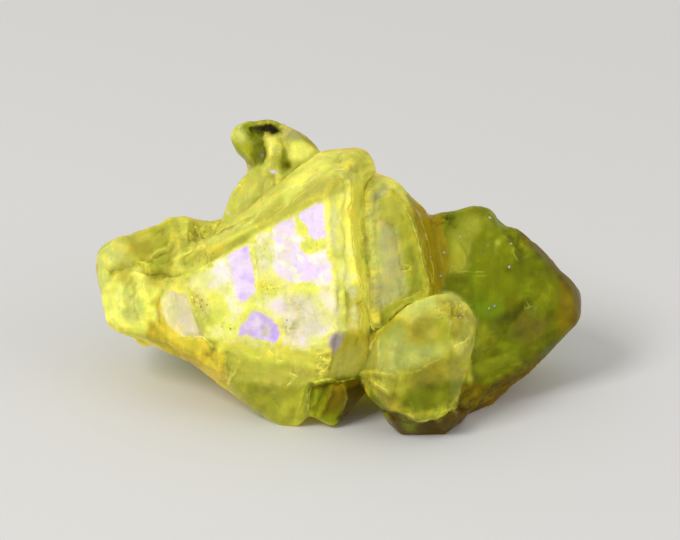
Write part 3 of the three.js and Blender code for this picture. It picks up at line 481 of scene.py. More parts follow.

# Dark seams: painted shade in creases, along contacts and on the shaded side of steps, and fine
# dark cracks, each with its strength.
DARK_SEAMS = {
    "left ledge shade": (0.25, [(111, 279), (116.5, 271), (126, 267), (137, 264.5), (145, 268)]),
    "left crease": (0.4, [(150, 263), (158, 256.5), (170, 251.5)]),
    "left contact": (0.2, [(180, 268), (168, 285), (157, 306), (160, 322), (174, 342)]),
    "neck contact": (0.8, [(254, 216), (232, 228), (210, 240)]),
    "neck crack": (0.35, [(268, 178), (262, 190), (262, 206)]),
    "groove floor": (0.5, [(361, 300), (366, 312), (371, 330)]),
    "facet corner": (0.25, [(336, 332), (352, 331), (378, 333)]),
    "facet left": (0.3, [(336, 332), (333, 350), (327, 372)]),
    "facet crack": (0.5, [(356, 335), (356, 346)]),
    "block low contact": (0.3, [(436, 298), (416, 304), (396, 315), (383, 328)]),
    "knob contact": (0.5, [(475, 318), (474, 342), (469, 356), (468, 374)]),
    "foot contact": (0.8, [(384, 408), (398, 420), (414, 422)]),
    "foot crack": (0.6, [(434, 420), (448, 414), (458, 406)]),
    "right crystal fold": (0.2, [(486, 352), (494, 345), (500, 336), (512, 320), (524, 306)]),
    "right crystal low line": (0.2, [(449, 274.5), (470, 275), (489, 275)]),
    "shard crack": (0.7, [(326, 384), (322, 394), (316, 408)]),
    "tip shade": (0.5, [(306, 388), (303, 402), (300, 410)]),
    "cap seam": (0.4, [(280, 137), (283, 150), (281, 164)]),
}

# Steps: plates that stand proud of (or lie below) the face round them, and by how much in
# millimetres.
STEPS = {
    "left facet hollow": ([(169, 292), (188, 295), (197, 323), (203, 336.5), (184, 335), (171, 326),
        (162, 310)], -0.08),
    "chip fan": ([(225, 350), (238, 358), (232, 374), (227, 386), (221, 372)], -0.08),
    "crown plate": ([(338, 158), (352, 156), (368, 168), (366, 178), (350, 180)], 0.08),
    "block panel": ([(373, 222), (380, 217), (397, 229), (406, 292), (396, 299), (378, 311),
        (371, 272)], -0.08),
    "block tag": ([(371, 198), (384, 189), (387, 196), (372, 205)], -0.1),
    "block green strip": ([(402, 210), (411, 221), (419, 255), (428, 288), (410, 292), (404, 250)],
        0.07),
    "ring": ([(254, 310), (278, 324), (277, 342), (252, 337), (243, 323)], -0.05),
    "window": ([(246, 246), (252, 260), (256, 293), (244, 305), (233, 287), (228, 257)], -0.05),
    "upper window": ([(299, 214), (323, 203), (327, 237), (310, 236)], -0.05),
    "middle window": ([(271, 229), (293, 216), (300, 248), (328, 248), (332, 283), (301, 288),
        (272, 266)], -0.05),
    "shard left": ([(311, 386), (330, 384), (326, 398), (316, 416), (311, 410)], -0.18),
}

# Growth streaks: outline, the way they run in pixels, their length and width in pixels, and
# their strength.
STREAKS = {
    "upper bevel": ([(160, 300), (196, 250), (252, 210), (320, 150), (376, 166), (352, 186),
        (262, 233), (208, 268)], (128, -104), 44, 5, 0.08),
    "right band": ([(326, 206), (350, 186), (352, 244), (360, 300), (345, 332), (336, 270)],
        (0.05, 1), 34, 5, 0.07),
    "groove": ([(350, 182), (370, 180), (366, 240), (382, 330), (361, 334), (354, 262)], (0.12, 1),
        60, 6, 0.06),
    "right block": ([(370, 176), (384, 168), (440, 216), (450, 262), (434, 300), (382, 330),
        (366, 262)], (0.2, 1), 44, 5, 0.09),
    "lower tip": ([(229, 374), (311, 384), (311, 414), (296, 430), (240, 405)], (0.55, -1), 30, 7,
        0.12),
    "table lower part": ([(214, 340), (330, 350), (331, 372), (306, 384), (228, 378)], (1, 0.12),
        26, 6, 0.08),
    "shard foot": ([(309, 384), (362, 376), (366, 392), (340, 428), (312, 418)], (-0.25, 1), 50, 9,
        0.12),
    "lower left": ([(100, 262), (140, 267), (166, 284), (175, 345), (200, 372), (104, 325)],
        (0.35, 1), 28, 9, 0.12),
    "upper left": ([(100, 246), (150, 220), (226, 216), (180, 262), (110, 266)], (1, -0.5), 26, 9,
        0.12),
    "neck": ([(228, 225), (236, 184), (252, 164), (300, 165), (262, 208)], (0.5, -1), 30, 8, 0.08),
    "right crystal": ([(430, 200), (500, 200), (592, 300), (560, 345), (470, 345), (470, 260)],
        (0, 1), 60, 6, 0.1),
    "right crystal beams": ([(468, 330), (560, 320), (545, 350), (480, 408), (466, 380)],
        (1, -0.45), 60, 9, 0.2),
    "knob": ([(370, 345), (400, 314), (464, 303), (474, 340), (460, 398), (420, 420), (366, 380)],
        (0.9, 0.25), 34, 9, 0.12),
    "cap": ([(228, 120), (290, 124), (320, 150), (290, 172), (250, 166)], (0.25, 1), 20, 7, 0.1),
}

# Corners and edges that are rounded off: outline and how far (0 to 1).
ROUNDED = {
    "cap": ([(222, 112), (300, 112), (326, 150), (300, 168), (268, 176), (240, 168), (222, 140)],
        0.75),
    "knob": ([(374, 322), (400, 304), (452, 288), (482, 312), (478, 350), (476, 388), (450, 408),
        (418, 420), (384, 404), (360, 376)], 0.8),
    "foot": ([(376, 402), (404, 414), (446, 412), (486, 384), (492, 412), (452, 446), (396, 446)],
        0.9),
    "left crystals": ([(88, 236), (150, 212), (230, 212), (196, 246), (168, 276), (156, 306),
        (120, 300), (88, 300)], 0.65),
    "lower left": ([(88, 290), (120, 290), (150, 300), (170, 345), (206, 372), (100, 345)], 0.25),
    "right tip": ([(545, 268), (600, 268), (600, 345), (545, 345)], 0.9),
    "right crown": ([(440, 200), (510, 200), (535, 245), (500, 245), (440, 235)], 0.8),
    "right foot": ([(470, 375), (560, 335), (575, 350), (490, 420), (462, 415)], 0.6),
    "small bump": ([(426, 204), (454, 204), (456, 230), (426, 230)], 0.9),
    "shard foot": ([(306, 400), (350, 400), (344, 436), (306, 428)], 0.6),
    "lower tip": ([(268, 405), (306, 405), (306, 436), (262, 436)], 0.5),
    "main crown": ([(312, 142), (384, 142), (384, 182), (330, 172)], 0.25),
    "neck": ([(220, 230), (236, 176), (262, 160), (262, 190), (240, 226)], 0.6),
    "table lower edge": ([(222, 350), (240, 348), (300, 350), (326, 366), (306, 392), (262, 402),
        (228, 384)], 0.9),
    "tip edges": ([(240, 384), (300, 384), (300, 420), (262, 420)], 0.6),
    "block side": ([(428, 220), (452, 220), (454, 290), (436, 300)], 0.8),
    "right box": ([(464, 266), (500, 266), (500, 308), (464, 308)], 0.8),
    "splinter": ([(128, 334), (156, 344), (150, 356), (128, 350)], 0.9),
}

# Folds: ridges (positive) and valleys (negative), each with the pixels that its slopes span on
# either side, its height in millimetres and the line that it follows.
FOLDS = {
    "cap column": (10, -0.2, [(254, 124), (256, 146), (258, 172)]),
    "cap second fold": (7, -0.16, [(285, 144), (286, 156), (284, 168)]),
    "cap pit": (7, -0.24, [(260, 131), (269, 131), (278, 133)]),
    "cap middle lobe": (12, 0.2, [(273, 145), (273, 156)]),
    "cap right lobe": (9, 0.15, [(294, 146), (308, 148)]),
    "cap left brow": (5, 0.12, [(232, 124), (244, 122), (250, 130)]),
    "left crest": (12, 0.34, [(118, 244), (108, 256), (110, 277)]),
    "left ledge": (7, -0.16, [(110, 278), (117, 268), (128, 266), (140, 264), (148, 268)]),
    "left tooth": (4, 0.2, [(139, 263), (146, 265), (152, 271)]),
    "left second ledge": (6, -0.2, [(152, 262), (157, 256), (166, 252), (172, 247)]),
    "left second lip": (4, 0.2, [(153, 257), (158, 251.5), (168, 249), (172, 244)]),
    "left crease fill": (8, 0.26, [(150, 268), (168, 271), (188, 274)]),
    "left far ridge": (7, 0.3, [(170, 222), (173, 238), (180, 250), (180, 262)]),
    "left bright ridge": (6, 0.24, [(178, 263), (188, 256), (200, 249)]),
    "left far hollow": (8, -0.2, [(188, 240), (196, 232), (206, 222)]),
    "left top ridge": (8, 0.16, [(128, 232), (146, 226), (160, 222)]),
    "left top hollow": (9, -0.2, [(140, 238), (150, 240), (158, 232)]),
    "left near corner": (6, 0.16, [(196, 226), (210, 224), (222, 228)]),
    "lower left ridge": (7, 0.2, [(122, 276), (125, 294), (122, 312)]),
    "lower left valley": (8, -0.16, [(134, 284), (136, 304), (140, 322)]),
    "lower left bulge": (9, 0.2, [(144, 278), (148, 298), (150, 318)]),
    "lower left side": (8, -0.08, [(154, 280), (156, 296), (160, 320)]),
    "lower left foot": (6, 0.12, [(112, 316), (140, 326), (170, 338)]),
    "neck ridge": (9, 0.1, [(266, 170), (254, 190), (242, 212)]),
    "neck valley": (9, -0.1, [(272, 176), (262, 200), (252, 214)]),
    "neck step": (4, 0.08, [(262, 172), (268, 184), (262, 196), (270, 202)]),
    "neck left facet": (7, 0.14, [(244, 186), (236, 206)]),
    "bevel valley": (7, -0.12, [(212, 262), (250, 238), (280, 214), (300, 200)]),
    "bevel rib": (6, 0.12, [(262, 216), (288, 190), (318, 166)]),
    "crown valley": (6, -0.16, [(318, 172), (334, 166), (352, 174)]),
    "crown knot": (6, 0.16, [(346, 160), (358, 168), (362, 180)]),
    "band rib": (4, 0.07, [(350, 200), (348, 220), (352, 250), (356, 276)]),
    "band notch": (5, -0.12, [(346, 206), (346, 216)]),
    "groove fill": (6, 0.4, [(366, 198), (364, 240), (369, 290), (377, 328)]),
    "block left rib": (5, 0.16, [(372, 200), (369, 226), (369, 250), (376, 290)]),
    "block valley": (8, -0.12, [(392, 226), (398, 262), (400, 290)]),
    "block rib": (5, 0.16, [(406, 210), (414, 236), (422, 274), (426, 290)]),
    "block second rib": (5, 0.04, [(417, 216), (426, 240), (432, 276)]),
    "block crown rib": (5, 0.12, [(376, 176), (392, 190), (408, 206)]),
    "block low rib": (5, 0.12, [(386, 322), (404, 308), (430, 294)]),
    "knob crown ridge": (9, 0.12, [(400, 318), (420, 309), (444, 300)]),
    "knob crown valley": (8, -0.07, [(408, 330), (432, 322), (456, 318)]),
    "knob right ridge": (6, 0.2, [(466, 308), (470, 326), (466, 346), (464, 366)]),
    "knob right valley": (7, -0.16, [(456, 322), (460, 342), (456, 362)]),
    "knob waist": (12, -0.07, [(392, 362), (420, 356), (452, 352)]),
    "knob brow": (6, 0.14, [(400, 378), (412, 370), (430, 362)]),
    "knob shard": (4, 0.2, [(364, 374), (378, 373), (392, 376)]),
    "knob low shard": (4, 0.2, [(374, 380), (382, 388), (389, 394)]),
    "knob left valley": (6, -0.18, [(394, 380), (398, 396)]),
    "knob post": (4, 0.12, [(381, 335), (381, 352), (380, 370)]),
    "knob hollow": (22, -0.3, [(430, 386), (442, 384)]),
    "knob rim": (5, 0.24, [(396, 406), (417, 416), (436, 415), (448, 410), (458, 396), (467, 388)]),
    "right crown bump": (12, 0.2, [(468, 218), (482, 220)]),
    "right crown valley": (7, -0.24, [(498, 222), (508, 238), (522, 252)]),
    "right knot": (7, 0.2, [(500, 246), (512, 260)]),
    "right slope": (9, 0.14, [(530, 258), (540, 280), (552, 300)]),
    "right dent": (12, -0.24, [(500, 318), (520, 308)]),
    "right fold": (8, -0.2, [(486, 352), (496, 342), (504, 330), (512, 320), (524, 306)]),
    "right low ridge": (8, 0.16, [(494, 360), (520, 344), (548, 328)]),
    "right low valley": (8, -0.16, [(480, 376), (506, 364), (530, 350)]),
    "right foot step": (6, 0.16, [(462, 404), (492, 384), (520, 366)]),
    "tip fold": (10, -0.16, [(258, 392), (276, 400), (292, 414)]),
    "tip rib": (5, 0.14, [(268, 384), (282, 398), (288, 414)]),
    "tip left plane": (8, 0.12, [(240, 388), (256, 404)]),
    "tip wall": (4, -0.2, [(310, 386), (309, 400), (308, 412)]),
    "facet rib": (5, 0.1, [(340, 338), (338, 356), (332, 372)]),
    "lower part dent": (16, -0.1, [(244, 366), (280, 370)]),
    "lower part lip": (6, 0.14, [(300, 366), (316, 370), (328, 362)]),
    "chip fan": (6, -0.08, [(229, 354), (230, 368), (226, 382)]),
    "foot valley": (6, -0.16, [(430, 420), (440, 434)]),
    "shard rib": (3.5, 0.14, [(333, 384), (328, 398), (320, 414)]),
    "shard valley": (5, -0.1, [(324, 386), (320, 398), (314, 408)]),
}

# Swellings: the pixel a crystal swells round, how far the swelling reaches, and how far it
# moves the skin (across, away and up the layout), all in millimetres.
SWELLS = {
    "knob crown": ((440, 312), 4.0, (0.05, 0.0, 0.34)),
    "block slope": ((376, 190), 3.5, (0.2, 0.0, 0.25)),
    "right crown": ((484, 226), 4.5, (0.3, 0.0, 0.14)),
    "right shoulder": ((520, 256), 4.0, (0.12, 0.0, 0.2)),
    "right tip": ((562, 304), 4.0, (0.22, 0.0, 0.0)),
    "right lower edge": ((528, 346), 4.0, (0.15, 0.0, -0.25)),
    "left corner": ((116, 312), 4.0, (-0.12, 0.0, -0.1)),
    "left crest": ((122, 250), 4.0, (-0.05, 0.0, -0.05)),
    "left peak": ((176, 232), 2.6, (0.0, 0.0, 0.12)),
    "cap": ((266, 142), 4.5, (0.0, 0.0, 0.22)),
    "cap tip": ((238, 126), 2.0, (-0.3, 0.0, 0.05)),
    "cap under": ((246, 157), 2.2, (0.6, 0.0, 0.0)),
    "main crown": ((350, 166), 4.0, (0.1, 0.0, 0.12)),
    "crown corner": ((364, 164), 2.4, (0.5, 0.0, 0.22)),
}

# Zones that were broken rather than grown, with small shell-shaped chips.
BROKEN = {
    "knob crown": [(440, 306), (462, 304), (466, 322), (450, 322)],
    "knob floor": [(436, 408), (452, 400), (468, 384), (474, 392), (450, 414), (430, 418)],
    "right crystal top": [(500, 230), (516, 234), (526, 248), (520, 258), (508, 256), (502, 240)],
    "right crystal foot": [(440, 440), (470, 400), (520, 362), (545, 350), (520, 388), (470, 432)],
    "table lower lip": [(314, 358), (330, 352), (331, 372), (316, 378)],
    "left upper": [(190, 224), (226, 222), (206, 240), (190, 244)],
    "cap top": [(232, 122), (264, 120), (290, 128), (280, 140), (250, 140)],
    "small bump": [(430, 208), (452, 208), (454, 228), (430, 226)],
}

# Where violet dust settles on the front.
DUSTY = {
    "block side": [(408, 214), (442, 214), (452, 280), (436, 296), (418, 250)],
    "right crystal": [(446, 228), (500, 214), (520, 280), (500, 320), (452, 312)],
    "knob top": [(436, 300), (474, 304), (474, 346), (452, 336)],
    "groove": [(366, 196), (384, 196), (380, 250), (366, 250)],
}


# ---------------------------------------------------------------- settings


def linear(colour):
    """A screen colour, 0 to 255, as linear light."""
    c = np.asarray(colour, float) / 255.0
    return np.where(c <= 0.04045, c / 12.92, ((c + 0.055) / 1.055) ** 2.4)


def colour_property(name, description, screen):
    """A colour that a user can change, given as a screen colour."""
    return FloatVectorProperty(name=name, description=description, size=3, min=0.0, max=1.0,
                               subtype="COLOR", default=tuple(linear(screen)))


def length_property(name, description, metres, **limits):
    """A length that a user can change."""
    return FloatProperty(name=name, description=description, default=metres, unit="LENGTH",
                         **limits)


class CerussiteRelief(bpy.types.PropertyGroup):
    """Sizes of the cluster's relief."""

    grain: length_property("Mesh grain", "Edge length of the finished mesh", 0.000197,
                           min=0.0001, max=0.002)
    step_fade: length_property("Step fade", "Width of a step's riser", 0.00012)
    seam_depth: length_property("Seam depth", "How far a seam stands out or sinks in", 0.00006)
    chip_size: length_property("Chip size", "Width of a shell-shaped chip", 0.0009)
    chip_depth: length_property("Chip depth", "Depth of a shell-shaped chip", 0.00022)
    terrace_height: length_property("Terrace height", "Height of one growth terrace", 0.00006)
    growth: length_property("Growth", "How far the skin stands off the plain solid", 0.00015)
    waviness: length_property("Waviness", "Slow waves of the grown faces", 0.00005)
    # The gleam is painted relief shading: how strongly the glow lightens relief turned to the lamp
    # side and darkens the rest.
    gleam: FloatProperty(name="Gleam", description="How much the relief shows in the glow",
                         default=1.6, min=0.0, max=4.0)
    seed: IntProperty(name="Seed", description="Seed of all the random relief", default=7, min=0)


class CerussiteColours(bpy.types.PropertyGroup):
    """Colours of the cluster."""

    # Besides the crystal's own tints, these colours carry painted light and shade of the glow: the
    # lighter ones for lit faces; olive, moss, khaki and umber for faces less lit, in shade or
    # turned aside.
    bright: colour_property("Bright yellow", "The brightest skin", (243, 240, 112))
    yellow: colour_property("Yellow", "Grown faces in the light", (221, 217, 96))
    straw: colour_property("Straw", "Steps and walls", (199, 193, 78))
    olive: colour_property("Olive", "Thicker, less lit crystal", (168, 167, 52))
    leaf: colour_property("Leaf green", "Clear hollows and crowns", (142, 147, 28))
    green: colour_property("Green", "Lit heart of the green crystal", (112, 134, 18))
    moss: colour_property("Moss green", "Deep crystal", (118, 124, 14))
    khaki: colour_property("Khaki", "Dull facets", (167, 155, 49))
    umber: colour_property("Umber", "Side faces with an orange rim", (146, 126, 14))
    # Brown: painted shade in the hollows, under the crystals and on the foot.
    orange: colour_property("Orange yellow", "Thin lower edges", (229, 207, 66))
    brown: colour_property("Brown", "Iron-stained edges and hollows", (92, 74, 6))
    grey: colour_property("Grey", "Hazy panels", (196, 192, 124))
    mist: colour_property("Mist", "Pale haze inside the front knob", (188, 190, 98))
    milk: colour_property("Milk", "Milky facets", (236, 224, 166))
    # Lavender, violet and frost paint the lamp's reflection on the glassy patches.
    lavender: colour_property("Lavender", "Glassy patches", (248, 228, 255))
    violet: colour_property("Violet", "Deepest glassy patches", (206, 176, 250))
    cream: colour_property("Cream", "Whitish clouds of the etched skin", (252, 247, 196))
    frost: colour_property("Frost", "White glassy patches", (255, 252, 238))
    stain: colour_property("Stain", "Iron stain on the broken back", (132, 84, 20))
    # The dust's violet is painted lamp light on it.
    dust: colour_property("Dust", "Violet dust", (150, 142, 186))


class CerussiteBits(bpy.types.PropertyGroup):
    """Crumbs and dust that lie on the cluster."""

    crumb_density: FloatProperty(name="Crumb density", default=1.6e6, min=0.0,
                                 description="Crumbs on a square metre of broken skin")
    crumb_smallest: length_property("Smallest crumb", "Half width of the smallest crumbs", 0.00007)
    crumb_largest: length_property("Largest crumb", "Half width of the largest crumbs", 0.00014)
    dust_density: FloatProperty(name="Dust density", default=2.2e5, min=0.0,
                                description="Flecks on a square metre of dusty skin")
    dust_smallest: length_property("Smallest fleck", "Half width of the smallest flecks", 0.00006)
    dust_largest: length_property("Largest fleck", "Half width of the largest flecks", 0.00013)
    seed: IntProperty(name="Seed", description="Seed of the scattering", default=3, min=0)


class CerussiteStage(bpy.types.PropertyGroup):
    """The stage round the cluster."""

    floor_size: length_property("Floor size", "Width of the floor", 6.0)
    floor_colour: colour_property("Floor colour", "A plain pale floor", (226, 225, 222))
    sky: FloatProperty(name="Room light", default=0.55,
                       description="Strength of the even light of the room")
    key: FloatProperty(name="Key light", default=1.6, unit="POWER",
                       description="Power of the large soft light")
    fill: FloatProperty(name="Fill light", default=0.35, unit="POWER",
                        description="Power of the light opposite")


# ---------------------------------------------------------------- places


def layout_direction(vectors):
    """Directions of the frame turned into the upright layout."""
    c, s = math.cos(LEAN), math.sin(LEAN)
    x, y, z = vectors[:, 0], vectors[:, 1], vectors[:, 2]
    return np.stack([x, y * c - z * s, y * s + z * c], 1)


def to_layout(points):
    """Places in the frame, in metres, as places in the upright layout, in millimetres."""
    return layout_direction(points / MM - LAYOUT_SHIFT)


def leant_back(vector):
    """A vector of the upright layout turned into the frame."""
    c, s = math.cos(LEAN), math.sin(LEAN)
    x, y, z = vector
    return np.array([x, y * c + z * s, -y * s + z * c])


def frame_direction(way):
    """A direction of the upright layout as a direction of the frame, one long."""
    return leant_back(np.array(way) / np.linalg.norm(way))


def from_layout(place):
    """A place in the upright layout, in millimetres, as a place in the frame, in metres."""
    return Vector((leant_back(place) + LAYOUT_SHIFT) * MM)


def on_picture(layout):
    """Where places in the layout appear, in pixels."""
    scale = FOCAL_PIXELS / (EYE_DISTANCE + layout[:, 1])
    across = PICTURE_WIDTH / 2 + scale * (layout[:, 0] - EYE_ACROSS)
    down = PICTURE_HEIGHT / 2 - scale * (layout[:, 2] - EYE_UP)
    return np.stack([across, down], 1)


def distance_to_piece(points, a, b):
    """Distance from points to the straight piece a to b, which side they lie on, and how far
    along."""
    along = b - a
    length = max(float(along @ along), 1e-9)
    share = np.clip((points - a) @ along / length, 0.0, 1.0)
    off = points - a - share[:, None] * along
    side = np.sign(along[0] * (points[:, 1] - a[1]) - along[1] * (points[:, 0] - a[0]))
    return np.hypot(off[:, 0], off[:, 1]), side, share


def inside(points, outline):
    """How far points lie inside a closed outline; negative outside."""
    corners = np.asarray(outline, float)
    nearest = np.full(len(points), np.inf)
    within = np.zeros(len(points), bool)
    for a, b in zip(corners, np.roll(corners, -1, 0)):
        nearest = np.minimum(nearest, distance_to_piece(points, a, b)[0])
        if a[1] != b[1]:
            crosses = (a[1] > points[:, 1]) != (b[1] > points[:, 1])
            at = a[0] + (points[:, 1] - a[1]) * (b[0] - a[0]) / (b[1] - a[1])
            within ^= crosses & (points[:, 0] < at)
    return np.where(within, nearest, -nearest)


def fade(value, low, high):
    """0 below low, 1 above high, smooth between."""
    t = np.clip((value - low) / (high - low), 0.0, 1.0)
    return t * t * (3 - 2 * t)


def zone(pixels, outlines, width):
    """1 inside any of the outlines, fading over width pixels."""
    out = np.zeros(len(pixels))
    for outline in outlines.values():
        out = np.maximum(out, fade(inside(pixels, outline), -width, width))
    return out


# ---------------------------------------------------------------- random relief

# Large odd numbers that mix a cell's place, the seed and a count into random bits.
MIX_CELL = (73856093, 19349663, 83492791)
MIX_SEED = 2654435761
MIX_COUNT = 668265263
MIX_BITS = ((15, 2246822519), (13, 3266489917))
LOW_32_BITS = 0xFFFFFFFF
LOW_24_BITS = 0xFFFFFF
# Brings the noise's usual swing to about -1 to 1.
NOISE_SWING = 1.6
# Each layer of rough noise has its own seed, this far on.
LAYER_SEED = 31
# How far a chip reaches from its centre, in cells, and how deep the shallowest chip is beside the
# deepest.
CHIP_REACH = 0.75
CHIP_SHALLOWEST = 0.35
# Terraces swing this many steps to either side of their middle, and each riser begins at this
# share of its step.
TERRACE_SWING = 1.5
RISER_START = 0.86


def cell_random(cells, seed, count):
    """count random numbers, 0 to 1, for each whole-numbered cell."""
    x, y, z = np.moveaxis(cells.astype(np.int64), -1, 0)
    mixed = (x * MIX_CELL[0]) ^ (y * MIX_CELL[1]) ^ (z * MIX_CELL[2]) ^ (seed * MIX_SEED)
    out = []
    for k in range(count):
        h = (mixed + k * MIX_COUNT) & LOW_32_BITS
        for shift, factor in MIX_BITS:
            h = ((h ^ (h >> shift)) * factor) & LOW_32_BITS
        out.append(((h ^ (h >> 16)) & LOW_24_BITS) / float(LOW_24_BITS + 1))
    return np.stack(out, -1)


def smooth_noise(points, size, seed):
    """Smooth noise from -1 to 1 whose waves are about size wide."""
    p = points / size
    base = np.floor(p)
    f = p - base
    w = f * f * f * (f * (f * 6 - 15) + 10)
    total = np.zeros(len(points))
    for corner in np.ndindex(2, 2, 2):
        slope = cell_random(base + corner, seed, 3) * 2 - 1
        weight = np.prod(np.where(np.array(corner) == 1, w, 1 - w), 1)
        total += weight * ((f - corner) * slope).sum(1)
    return total * NOISE_SWING


def rough_noise(points, size, seed, layers=4, gain=0.5):
    """Several layers of smooth noise, each finer than the last."""
    total = np.zeros(len(points))
    amount = 1.0
    for k in range(layers):
        total += amount * smooth_noise(points, size / 2**k, seed + LAYER_SEED * k)
        amount *= gain
    return total


def nearest_cells(points, size, seed):
    """Distance to the nearest of scattered points, and that point's own number."""
    p = points / size
    base = np.floor(p)
    nearest = np.full(len(points), np.inf)
    own = np.zeros(len(points))
    for step in np.ndindex(3, 3, 3):
        cell = base + np.array(step) - 1
        r = cell_random(cell, seed, 4)
        distance = np.sqrt(((cell + r[:, :3] - p) ** 2).sum(1))
        closer = distance < nearest
        own = np.where(closer, r[:, 3], own)
        nearest = np.where(closer, distance, nearest)
    return nearest, own


def shell_chips(points, size, seed):
    """Shell-shaped hollows, 0 on the ridges between them and -1 at their deepest."""
    nearest, own = nearest_cells(points, size, seed)
    depth = CHIP_SHALLOWEST + (1 - CHIP_SHALLOWEST) * own
    return -(1 - np.clip(nearest / CHIP_REACH, 0, 1) ** 2) * depth


def terraces(points, size, seed):
    """Flat growth terraces with sharp risers, 0 to about 3 steps."""
    slope = rough_noise(points, size, seed, 3) * TERRACE_SWING + TERRACE_SWING
    whole = np.floor(slope)
    return whole + fade(slope - whole, RISER_START, 1.0)


# ---------------------------------------------------------------- mesh helpers

# The remeshed cluster: points closer than this are merged first, in metres.
MERGE_DISTANCE = 1e-7
# A sight line starts this far towards the eye and off the skin, and runs this far, in metres.
SIGHT_START = 1e-4
SIGHT_LIFT = 5e-5
SIGHT_LENGTH = 0.1
# How squarely a point has to face the eye before it is looked for.
SIGHT_FACING = 0.02


def coordinates(mesh):
    """The places of a mesh's points, in metres."""
    out = np.empty(len(mesh.vertices) * 3, np.float32)
    mesh.vertices.foreach_get("co", out)
    return out.reshape(-1, 3).astype(float)


def set_coordinates(mesh, places):
    """Moves a mesh's points to new places."""
    mesh.vertices.foreach_set("co", places.astype(np.float32).ravel())
    mesh.update()


def directions(mesh):
    """The outward direction at each point."""
    out = np.empty(len(mesh.vertices) * 3, np.float32)
    mesh.vertex_normals.foreach_get("vector", out)
    return out.reshape(-1, 3).astype(float)


def edge_ends(mesh):
    """The two points at the ends of each edge."""
    out = np.empty(len(mesh.edges) * 2, np.int32)
    mesh.edges.foreach_get("vertices", out)
    return out.reshape(-1, 2)


def one_long(vectors):
    """Vectors brought to a length of one."""
    return vectors / np.linalg.norm(vectors, axis=1)[:, None]


def averaged(values, ends, rounds):
    """Values smoothed over each point's neighbours."""
    count = np.bincount(ends.ravel(), minlength=len(values)).astype(float)
    flat = values.reshape(len(values), -1)
    for _ in range(rounds):
        out = np.empty_like(flat)
        for k in range(flat.shape[1]):
            total = np.bincount(ends[:, 0], flat[ends[:, 1], k], len(values))
            total += np.bincount(ends[:, 1], flat[ends[:, 0], k], len(values))
            out[:, k] = (flat[:, k] + total / count) / 2
        flat = out
    return flat.reshape(values.shape)


def store(mesh, name, values):
    """Keeps a number or a colour for each point."""
    if values.ndim == 1:
        kept = mesh.attributes.new(name, "FLOAT", "POINT")
        kept.data.foreach_set("value", values.astype(np.float32))
    else:
        opaque = np.concatenate([values, np.ones((len(values), 1))], 1)
        kept = mesh.attributes.new(name, "FLOAT_COLOR", "POINT")
        kept.data.foreach_set("color", opaque.astype(np.float32).ravel())


def as_object(name, data):
    """A new object of the scene."""
    made = bpy.data.objects.new(name, data)
    bpy.context.scene.collection.objects.link(made)
    return made


def remeshed_copy(name, grain):
    """A fine, even, closed copy of the CAD node, whose points lie on its faces, and those
    faces."""
    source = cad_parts[CAD_NODE].data
    body = bmesh.new()
    body.from_mesh(source)
    bmesh.ops.remove_doubles(body, verts=body.verts, dist=MERGE_DISTANCE)
    merged = source.copy()
    body.to_mesh(merged)
    faces = BVHTree.FromBMesh(body)
    body.free()
    merged.materials.clear()
    rough = as_object(name + "_rough", merged)
    modifier = rough.modifiers.new("Even mesh", "REMESH")
    modifier.mode = "VOXEL"
    modifier.voxel_size = grain
    graph = bpy.context.evaluated_depsgraph_get()
    mesh = bpy.data.meshes.new_from_object(rough.evaluated_get(graph))
    mesh.name = name
    bpy.data.objects.remove(rough)
    bpy.data.meshes.remove(merged)
    places = coordinates(mesh)
    for k, place in enumerate(places):
        places[k] = faces.find_nearest(Vector(place))[0]
    set_coordinates(mesh, places)
    return mesh, faces


def seen_from_front(places, normals, faces):
    """1 where a point faces the eye and nothing stands before it, and how squarely each
    point faces the eye."""
    towards = one_long(np.array(from_layout(EYE)) - places)
    facing = (towards * normals).sum(1)
    seen = np.zeros(len(places))
    for k in np.nonzero(facing > SIGHT_FACING)[0]:
        start = Vector(places[k] + towards[k] * SIGHT_START + normals[k] * SIGHT_LIFT)
        if faces.ray_cast(start, Vector(towards[k]), SIGHT_LENGTH)[0] is None:
            seen[k] = 1.0
    return seen, facing


# ---------------------------------------------------------------- the front's marks

# How far a place counts as being from a seam, and outside a glassy patch, where there is none
# near, in pixels.
NO_SEAM = 40.0
NO_MIRROR = -20.0
# A glassy patch that is deeper than this is no better than another, in pixels.
MIRROR_DEEP = 2.0
# Skin roughness where no area says otherwise.
PLAIN_ROUGHNESS = 0.4
# Brightness on the screen is light to about this power.
SCREEN_POWER = 2.2
# Outlines of streaks and rounded edges fade over these many pixels on either side.
STREAK_BORDER = 3
ROUNDED_BORDER = 4
# The points that a swelling starts from lie within this many pixels, and it is whole up to this
# share of its reach.
SWELL_START = 14
SWELL_WHOLE = 0.3
# How squarely a point faces the eye where the front's marks begin and where they are whole.
FRONT_TURN = (0.03, 0.22)
# Heights over the floor between which the relief sets in, in metres, so that the cluster rests.
REST_ZONE = (0.00005, 0.0006)
# Wobbles of the outlines: the size of their waves in millimetres, the seeds of the shifts across
# and down, and their reach in pixels.
SEAM_WOBBLE = (0.8, (5, 9), 0.8)
AREA_WOBBLE = (1.1, (11, 17), 1.6)
MIRROR_WOBBLE = (0.5, (23, 29), 1.2)
RELIEF_WOBBLE = (0.7, (47, 53), 1.3)
# How strong a seam is at its ends beside its middle, and how steeply it grows from them.
SEAM_END = 0.15
SEAM_GROWTH = 5.0
# Each streaked face takes its noise this far from the last, and each finer layer of the streaks
# has this share of the strength.
STREAKS_APART = 7.3
STREAK_GAIN = 0.6
# How much the outline of the cleanest glassy patch wobbles beside others, and how much a patch
# counts that covers nothing.
MIRROR_CLEANEST = 0.3
MIRROR_BAREST = 0.5
# How round the crest of a fold is, as a share of the width of its slopes.
FOLD_ROUND = 0.3


